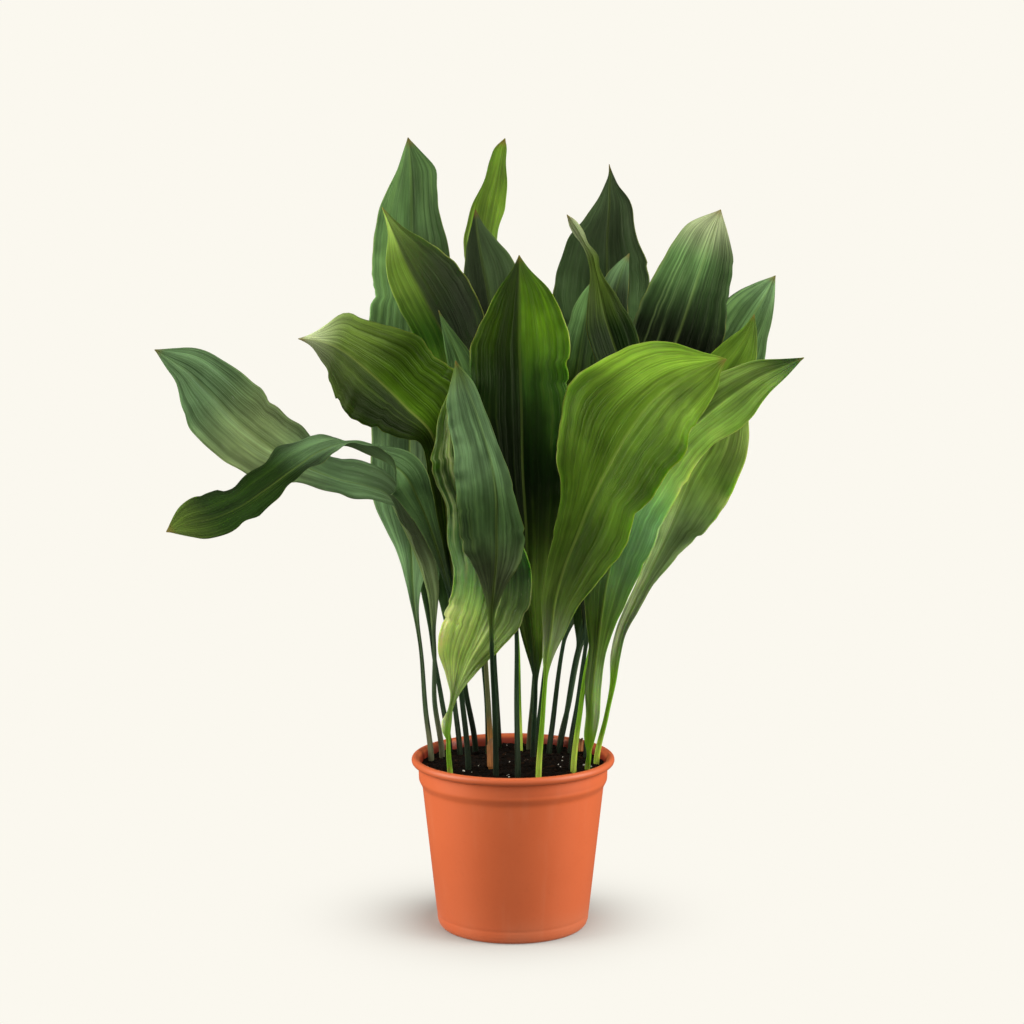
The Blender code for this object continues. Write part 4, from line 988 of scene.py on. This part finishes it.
# %% Leaf finish
def leaf_finish(name, look, seed):
    """Colour = greens along the blade, partly painted shade, x painted light of each half x painted light
    and shade spots x veins x bands x patches, then painted sheen and the rest on top.
    """
    leaf = Finish(name)
    along = leaf.own("along")
    across = leaf.own("across")
    off = leaf.own("off")
    under = leaf.own("under")
    where = leaf.place()
    shift = seed * 3.7

    fine = leaf.grain(along, across, 2.2, 17.0, shift, 5.0, 0.75)
    thread = leaf.grain(along, across, 0.9, 11.0, shift + 3, 2.0)
    thread = leaf.step(leaf.calc("ABSOLUTE", leaf.calc("SUBTRACT", thread, 0.5)), 0.0, 0.028, 1.0, 0.0)
    bands = leaf.grain(along, across, 1.8, 9.0, shift + 9)
    patches = leaf.grain(along, across, 5.0, 2.0, shift + 5)
    cloud = leaf.noise(where, 22.0, 3.0)

    # The greens along the blade are partly the leaf's own colour and partly painted light and shade: dark
    # where the lower blade lies in the shadow of other leaves, light where it is lit.
    tone = leaf.ramp(along, [(at, tint(*GREENS[green])) for at, green in look["tones_and_shading"]])
    # Painted light and shade: one half of the blade is painted lighter and the other darker, for the half
    # that faces the lamps and the half in shade.
    left, right = look.get("halves", (1.0, 1.0))
    tone = leaf.dim(tone, leaf.step(across, -0.10, 0.10, left, right))
    # Painted shadow and painted light: soft spots painted darker where another leaf shades the blade and
    # lighter where light comes through it.
    for at, side, long, wide, factor in look.get("painted_light_and_shade", ()):
        spot = leaf.spot(along, across, at, side, long, wide)
        tone = leaf.dim(tone, leaf.calc("MULTIPLY_ADD", spot, factor - 1.0, 1.0))
    strength = look.get("veins", 0.22)
    calm = leaf.step(leaf.grain(along, across, 3.0, 1.3, shift + 1, 2.0), 0.36, 0.60, 0.25, 1.15)
    veined = leaf.calc("MULTIPLY", leaf.step(fine, 0.38, 0.62, -strength, strength), calm)
    tone = leaf.dim(tone, leaf.calc("ADD", 1.0, veined))
    threads = leaf.calc("MULTIPLY", leaf.calc("MULTIPLY", thread, calm), 0.9 * strength)
    tone = leaf.dim(tone, leaf.calc("SUBTRACT", 1.0, threads))
    tone = leaf.dim(tone, leaf.step(bands, 0.35, 0.65, 1 - 0.8 * strength, 1 + 0.8 * strength))
    tone = leaf.dim(tone, leaf.step(patches, 0.34, 0.66, 0.68, 1.32))
    tone = leaf.dim(tone, leaf.step(cloud, 0.34, 0.66, 0.82, 1.18))
    # Painted sheen: a paler colour laid on where the bands and patches run high, painted as the satin shine
    # streaks of the blade.
    painted_sheen = look.get("painted_sheen", (0.12, (120, 150, 50)))
    share = leaf.calc("MULTIPLY", leaf.step(bands, 0.5, 0.7), leaf.step(patches, 0.4, 0.6))
    share = leaf.calc("MULTIPLY", share, painted_sheen[0])
    tone = leaf.mix(share, tone, tint(*painted_sheen[1]))

    rib_share, rib_colour = look.get("rib", (0.35, (132, 158, 74)))
    rib = leaf.calc("MULTIPLY", leaf.step(off, 0.55, 1.5, 1.0, 0.0), leaf.step(along, 0.95, 0.3, 0.3, 1.0))
    tone = leaf.mix(leaf.calc("MULTIPLY", rib, rib_share), tone, tint(*rib_colour))
    pale = leaf.mix(0.45, leaf.dim(tone, 1.15), tint(*look.get("under", (112, 134, 84))))
    tone = leaf.mix(leaf.calc("MULTIPLY", under, 0.85), tone, pale)

    a = leaf.calc("ABSOLUTE", across)
    rim_share, rim_colour = look.get("rim", (0.45, (150, 160, 70)))
    rim = leaf.calc("MULTIPLY", leaf.step(a, 0.968, 0.998), leaf.step(along, 0.0, 0.12))
    broken = leaf.noise(leaf.join(leaf.calc("MULTIPLY", along, 9.0), across, shift))
    rim = leaf.calc("MULTIPLY", rim, leaf.step(broken, 0.42, 0.60))
    tone = leaf.mix(leaf.calc("MULTIPLY", rim, rim_share), tone, tint(*rim_colour))
    brown = leaf.step(leaf.calc("ADD", along, leaf.calc("MULTIPLY", cloud, 0.02)), 0.985, 1.012)
    tone = leaf.mix(leaf.calc("MULTIPLY", brown, look.get("tip", 0.7)), tone, tint(120, 92, 46))

    if look.get("specks"):
        marks = leaf.grain(along, across, 46.0, 24.0, shift, 4.0, 0.75)
        patch = leaf.step(leaf.noise(where, 34.0, 1.0), 0.46, 0.62)
        share = leaf.calc("MULTIPLY", leaf.step(marks, 0.60, 0.74), patch)
        share = leaf.calc("MULTIPLY", share, look["specks"])
        share = leaf.calc("MULTIPLY", share, leaf.step(under, 0.6, 0.4))
        tone = leaf.mix(share, tone, tint(196, 208, 186))

    foot, neck = tint(*look["foot"]), tint(*look["stalk"])
    stalk = leaf.ramp(leaf.calc("ADD", along, 1.0), [(0.0, foot), (0.28, foot), (0.55, neck), (1.0, neck)])
    lines = leaf.grain(along, across, 6.0, 5.0, shift)
    stalk = leaf.dim(stalk, leaf.step(lines, 0.3, 0.7, 0.82, 1.18))
    blade = leaf.calc("MAXIMUM", leaf.step(along, 0.0, 0.16),
                      leaf.calc("MULTIPLY", leaf.step(off, 2.0, 4.5), leaf.step(along, 0.0, 0.05)))
    tone = leaf.mix(blade, stalk, tone)

    skin = leaf.calc("SUBTRACT", leaf.calc("ADD", fine, leaf.calc("MULTIPLY", bands, 1.8)),
                     leaf.calc("MULTIPLY", thread, 0.35))
    shine = look.get("rough", 0.35)
    return leaf.give(Base_Color=tone,
                     Roughness=leaf.calc("ADD", leaf.step(cloud, 0.3, 0.7, shine - 0.05, shine + 0.07),
                                         leaf.calc("MULTIPLY", under, 0.12)),
                     Specular_IOR_Level=look.get("gloss", 0.12), Specular_Tint=tint(206, 236, 176),
                     Subsurface_Weight=look.get("thin", 0.05), Subsurface_Radius=(0.7, 1.4, 0.2),
                     Subsurface_Scale=0.0012,
                     Normal=leaf.bump(skin, look.get("relief", 0.5), 0.0012))


print("leaf finish ready")

# %% [markdown]
# Each leaf now gets its own look. The young ones are a fresh yellow-green, the old ones a grey or
# nearly black green. One small palette of greens serves them all, and a leaf names the greens it
# runs through from its neck to its tip; they are partly its own colour and partly painted light and
# shade, dark where the lower blade lies in the shadow of other leaves. The painted half light says
# how light its left and its right half are painted, for the half that faces the lamps and the half
# in shade. The painted light and shade are soft spots, painted shadow where another leaf dims it and
# painted light where light comes through: the place along and across, half the length and half the
# width, and how many times lighter it is there.

# %% Looks
GREENS = {
    "black": (8, 16, 6), "deep": (14, 32, 6), "pine": (24, 46, 8), "moss": (44, 66, 10),
    "shamrock": (54, 82, 8), "ivy": (58, 86, 46), "bottle": (42, 56, 34), "dusk": (62, 72, 48),
    "olive": (74, 94, 36), "sage": (74, 104, 60), "grass": (84, 114, 32), "grey": (106, 140, 96),
    "fresh": (112, 145, 46), "lime": (146, 173, 86), "mist": (150, 173, 116), "pale": (162, 174, 134)}

DARK_STALK = {"stalk": (38, 58, 40), "foot": (34, 44, 34)}
BRIGHT_STALK = {"stalk": (122, 172, 44), "foot": (178, 204, 84)}
GREY_STALK = {"stalk": (66, 84, 60), "foot": (94, 96, 74)}

LOOKS = {
    "leaf_tall_left": {
        "tones_and_shading": [(0.0, "grey"), (0.25, "grey"), (0.5, "bottle"), (0.7, "sage"), (1.0, "sage")],
        **GREY_STALK, "veins": 0.2, "halves": (1.4, 0.7), "painted_light_and_shade": [(0.30, 0.2, 0.25, 0.5, 0.6)]},
    "leaf_folded_left": {
        "tones_and_shading": [(0.0, "moss"), (0.5, "grass"), (0.7, "pine"), (0.87, "olive"), (1.0, "lime")],
        **DARK_STALK, "thin": 0.4, "halves": (2.0, 0.45), "rim": (0.7, (160, 176, 84)),
        "painted_light_and_shade": [(0.75, 0.7, 0.12, 0.5, 0.4), (0.75, -0.8, 0.10, 0.35, 1.4)]},
    "leaf_left_olive": {
        "tones_and_shading": [(0.0, "black"), (0.25, "moss"), (0.7, "moss"), (0.87, "olive"), (1.0, "pale")],
        **DARK_STALK, "veins": 0.28, "rib": (0.5, (150, 166, 76)), "halves": (0.5, 1.9),
        "painted_light_and_shade": [(0.60, 0.2, 0.16, 0.35, 1.9), (0.60, -0.4, 0.10, 0.35, 0.6),
                   (0.60, 0.6, 0.10, 0.35, 0.7)]},
    "leaf_far_left_upper": {
        "tones_and_shading": [(0.0, "mist"), (0.25, "dusk"), (0.5, "grey"),
                  (0.7, "mist"), (0.87, "grey"), (1.0, "grey")],
        **GREY_STALK, "veins": 0.24, "specks": 0.5, "painted_sheen": (0.3, (128, 152, 124)),
        "painted_light_and_shade": [(0.20, 0.8, 0.10, 0.35, 1.5), (0.65, 0.8, 0.16, 0.35, 0.6),
                   (0.40, 0.2, 0.10, 0.35, 0.6)]},
    "leaf_far_left_lower": {
        "tones_and_shading": [(0.0, "dusk"), (0.25, "sage"), (0.5, "grey"),
                  (0.7, "pine"), (0.87, "pine"), (1.0, "olive")],
        **DARK_STALK, "veins": 0.18,
        "painted_light_and_shade": [(0.30, 0.1, 0.10, 0.45, 1.9), (0.65, -0.6, 0.10, 0.6, 0.5)]},
    "leaf_centre_bright": {
        "tones_and_shading": [(0.0, "moss"), (0.25, "olive"), (0.5, "deep"),
                  (0.7, "pine"), (0.87, "shamrock"), (1.0, "moss")],
        **DARK_STALK, "thin": 0.4, "veins": 0.18, "halves": (0.5, 2.0),
        "painted_light_and_shade": [(0.75, 0.8, 0.10, 0.35, 1.9), (0.60, -0.2, 0.10, 0.35, 0.6),
                   (0.42, 0.3, 0.16, 0.9, 0.2)]},
    "leaf_front_left": {
        "tones_and_shading": [(0.0, "grass"), (0.25, "dusk"), (0.5, "sage"),
                  (0.7, "grey"), (0.87, "grey"), (1.0, "olive")],
        **DARK_STALK, "veins": 0.22,
        "painted_light_and_shade": [(0.45, -0.8, 0.10, 0.35, 0.4), (0.25, -0.8, 0.10, 0.35, 1.7),
                   (0.85, 0.8, 0.16, 0.35, 0.7)]},
    "leaf_front_left_bright": {
        "tones_and_shading": [(0.0, "pale"), (0.25, "lime"), (0.5, "sage"),
                  (0.7, "pine"), (0.87, "moss"), (1.0, "fresh")],
        **BRIGHT_STALK, "thin": 0.6, "halves": (1.7, 0.6), "specks": 0.35, "veins": 0.3,
        "gloss": 0.45, "rough": 0.3, "painted_sheen": (0.6, (206, 222, 150)),
        "painted_light_and_shade": [(0.25, 0.2, 0.16, 0.35, 1.9), (0.40, -0.6, 0.10, 0.35, 1.5)]},
    "leaf_front_right_broad": {
        "tones_and_shading": [(0.0, "pale"), (0.25, "olive"), (0.5, "grass"),
                  (0.7, "grass"), (0.87, "fresh"), (1.0, "fresh")],
        **BRIGHT_STALK, "thin": 0.4, "veins": 0.17, "rib": (0.55, (156, 182, 88)), "halves": (1.2, 0.8),
        "painted_light_and_shade": [(0.55, -0.8, 0.10, 0.35, 0.5), (0.80, -0.8, 0.10, 0.35, 1.8),
                   (0.25, -0.2, 0.10, 0.35, 1.3)]},
    "leaf_right_upper": {
        "tones_and_shading": [(0.0, "mist"), (0.25, "olive"), (0.5, "grey"),
                  (0.7, "lime"), (0.87, "lime"), (1.0, "sage")],
        **BRIGHT_STALK, "thin": 0.6, "veins": 0.2, "rib": (0.5, (150, 178, 84)), "halves": (0.8, 1.3),
        "painted_light_and_shade": [(0.60, 0.8, 0.10, 0.35, 1.9), (0.15, -0.4, 0.10, 0.35, 1.6),
                   (0.15, 0.8, 0.10, 0.35, 1.5)]},
    "leaf_right_lower": {
        "tones_and_shading": [(0.0, "pale"), (0.5, "mist"), (0.7, "lime"), (1.0, "lime")],
        **BRIGHT_STALK, "thin": 0.6,
        "painted_light_and_shade": [(0.35, -0.7, 0.30, 0.45, 1.6), (0.20, 0.6, 0.16, 0.6, 0.5),
                   (0.50, 0.4, 0.10, 0.35, 0.6)]},
    "leaf_right_light_tip": {
        "tones_and_shading": [(0.0, "pine"), (0.25, "pine"), (0.5, "grass"),
                  (0.7, "black"), (0.87, "sage"), (1.0, "pale")],
        **DARK_STALK, "veins": 0.34, "painted_sheen": (0.35, (132, 156, 96)),
        "painted_light_and_shade": [(0.95, 0.4, 0.10, 0.35, 1.9), (0.70, 0.0, 0.10, 0.35, 0.5),
                   (0.85, 0.8, 0.10, 0.35, 0.6)]},
    "leaf_right_back_grey": {
        "tones_and_shading": [(0.0, "moss"), (0.7, "sage"), (0.87, "sage"), (1.0, "grey")],
        **GREY_STALK, "veins": 0.2},
    "leaf_right_bright": {
        "tones_and_shading": [(0.0, "olive"), (0.7, "grass"), (1.0, "grass")],
        **BRIGHT_STALK, "thin": 0.4, "veins": 0.16},
    "leaf_back_dark": {
        "tones_and_shading": [(0.0, "dusk"), (0.5, "sage"), (0.87, "bottle"), (1.0, "bottle")],
        **DARK_STALK, "veins": 0.2, "painted_sheen": (0.15, (90, 112, 84)), "halves": (1.1, 0.9),
        "painted_light_and_shade": [(0.75, 0.8, 0.10, 0.35, 1.9), (0.90, -0.8, 0.10, 0.35, 1.7)]},
    "leaf_right_folded": {
        "tones_and_shading": [(0.0, "black"), (0.5, "moss"), (0.7, "deep"), (0.87, "olive"), (1.0, "pale")],
        **DARK_STALK, "veins": 0.18, "halves": (0.8, 1.2)},
    "leaf_back_yellow_edge": {
        "tones_and_shading": [(0.0, "pine"), (0.5, "bottle"), (0.87, "bottle"), (1.0, "grey")],
        **DARK_STALK, "rim": (0.9, (176, 178, 84)), "painted_light_and_shade": [(0.90, 0.8, 0.10, 0.6, 0.7)]},
    "leaf_back_grey": {
        "tones_and_shading": [(0.0, "deep"), (0.5, "pine"), (0.7, "moss"), (0.87, "sage"), (1.0, "sage")],
        **GREY_STALK, "halves": (1.7, 0.6), "painted_light_and_shade": [(0.80, 0.0, 0.10, 0.35, 0.7)]},
    "leaf_tall_centre": {
        "tones_and_shading": [(0.0, "grey"), (0.7, "lime"), (0.87, "fresh"), (1.0, "grass")],
        **BRIGHT_STALK, "thin": 0.4, "veins": 0.2, "halves": (1.1, 0.9),
        "painted_light_and_shade": [(0.90, 0.8, 0.10, 0.35, 0.7)]},
    "leaf_centre_dark": {
        "tones_and_shading": [(0.0, "black"), (0.7, "black"), (0.87, "bottle"), (1.0, "bottle")],
        **DARK_STALK, "veins": 0.16, "halves": (0.6, 1.6), "painted_light_and_shade": [(0.75, -0.4, 0.16, 0.35, 0.7)]},
    "leaf_left_teal_tip": {
        "tones_and_shading": [(0.0, "deep"), (0.7, "pine"), (0.87, "sage"), (1.0, "sage")],
        "stalk": (96, 100, 66), "foot": (176, 118, 62), "halves": (1.4, 0.7),
        "painted_light_and_shade": [(0.90, 0.0, 0.16, 0.35, 1.8)]},
}
REAR_LOOK = {"tones_and_shading": [(0.0, "ivy"), (0.5, "ivy"), (1.0, "ivy")], **DARK_STALK}
print("looks for", len(LOOKS), "leaves")

# %% [markdown]
# The leaves that face the room are worked out finely. The ones at the back of the plant are a little
# coarser, which no one can see and which keeps the whole plant light.

# %% Make the leaves
faces = 0
for number, (name, leaf) in enumerate(LEAVES.items()):
    rear = name.startswith("leaf_rear")
    points, numbers = leaf_surface(leaf, 120 if rear else 176, 64 if rear else 92, 100 + number)
    look = LOOKS.get(name, REAR_LOOK)
    finish = leaf_finish("green_" + name[5:], look, number + 1)
    made = grid_piece(name + "_blade", points, finish, numbers=numbers,
                      stands_for=(name,))
    faces += len(made.data.polygons)
print("leaves", len(LEAVES), "with", faces, "faces")

# %% [markdown]
# ## Dry scales
# Round the foot of one stalk sits a dry papery scale, the last of the sheath the leaf came up
# through, and at the right stands the stub of a leaf that was cut off. Both are thin brown skins with
# a torn upper edge.

# %% Dry scale surface
def dry_scale(path, radii, thick, tear, seed, rows=26, ring=72):
    """A thin sleeve round a path: outside rows go up, inside rows come back down.

    The height a point reaches is cut by a jagged line round the sleeve, so the top edge looks torn.
    """
    chance = np.random.default_rng(seed)
    path = np.array(path, dtype=float)
    knots = np.concatenate([[0.0], np.cumsum(np.linalg.norm(np.diff(path, axis=0), axis=1))])
    turn = np.linspace(0, 2 * math.pi, ring, endpoint=False)[None, :]
    jag = sum(chance.uniform(0.2, 1.0) / k * np.sin(k * turn + chance.uniform(0, 6.3))
              for k in (1, 2, 5, 9, 17))
    share = np.linspace(0, 1, rows)[:, None] * (1 - tear * (0.5 + 0.5 * np.tanh(jag)))
    centre = smooth(knots, path, (share * knots[-1]).reshape(-1)).reshape(rows, ring, 3)
    radius = eased(radii, share.reshape(-1)).reshape(rows, ring)
    radius = radius * (1 + 0.05 * np.sin(11 * turn + 2.0) + 0.03 * np.sin(23 * turn))
    shell = []
    for part, order in ((radius + thick, slice(None)), (radius, slice(None, None, -1))):
        around = np.stack([part * np.cos(turn), part * np.sin(turn), 0 * part], axis=-1)
        shell.append((centre + around)[order])
    along = np.concatenate([share, share[::-1]])
    return np.concatenate(shell), {"along": along, "across": np.sin(turn) + 0 * along}


# %% Dry scale finish and pieces
husk = Finish("dry_papery_scale")
along = husk.own("along")
where = husk.place()
fibre = husk.noise(husk.add("Mapping", {"Vector": where, "Scale": (1500.0, 1500.0, 90.0)}), 1.0, 3.0)
tone = husk.ramp(along, [(0.0, tint(196, 128, 70)), (0.5, tint(168, 108, 62)), (1.0, tint(120, 92, 62))])
tone = husk.dim(tone, husk.step(fibre, 0.3, 0.7, 0.7, 1.2))
papery = husk.give(Base_Color=tone, Roughness=0.75, Normal=husk.bump(fibre, 0.6, 0.0005))

sheath_leaf = LEAVES["leaf_left_teal_tip"]
knots, path, _, neck = leaf_path(sheath_leaf)
low = SOIL_TOP + 0.0012 - FOOT_BOTTOM
at = np.linspace(low, low + 0.0262, 6)
sheath_path = smooth(knots, path, at)
sheath_radii = STALK_FOOT + (STALK_NECK - STALK_FOOT) * at / neck + 0.0004
points, numbers = dry_scale(sheath_path, sheath_radii, 0.0004, 0.35, 5)
grid_piece("dry_sheath_scale", points, papery, caps=False, loop=True, numbers=numbers,
           stands_for=("dry_sheath",))
low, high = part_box("dry_stub")
middle = (low + high) / 2
stub_radius = (high.x - low.x) / 2
points, numbers = dry_scale([(middle.x, middle.y, low.z), (middle.x + 0.0003, middle.y, high.z)],
                            [stub_radius, stub_radius * 0.85], 0.0006, 0.25, 8)
grid_piece("dry_stub_scale", points, papery, caps=False, loop=True, numbers=numbers,
           stands_for=("dry_stub",))
print("dry scales made")

# %% [markdown]
# ## Sizes
# The finer shapes can grow past the plain solids, so how far the outline grew past the frame is printed, in
# millimetres.

# %% Sizes and the end
new_box = [list(corner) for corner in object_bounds()]
grown = [[round(1000 * (n - o), 1) for n, o in zip(a, b)] for a, b in zip(new_box, frame_box)]
print("grown by, mm:", grown)
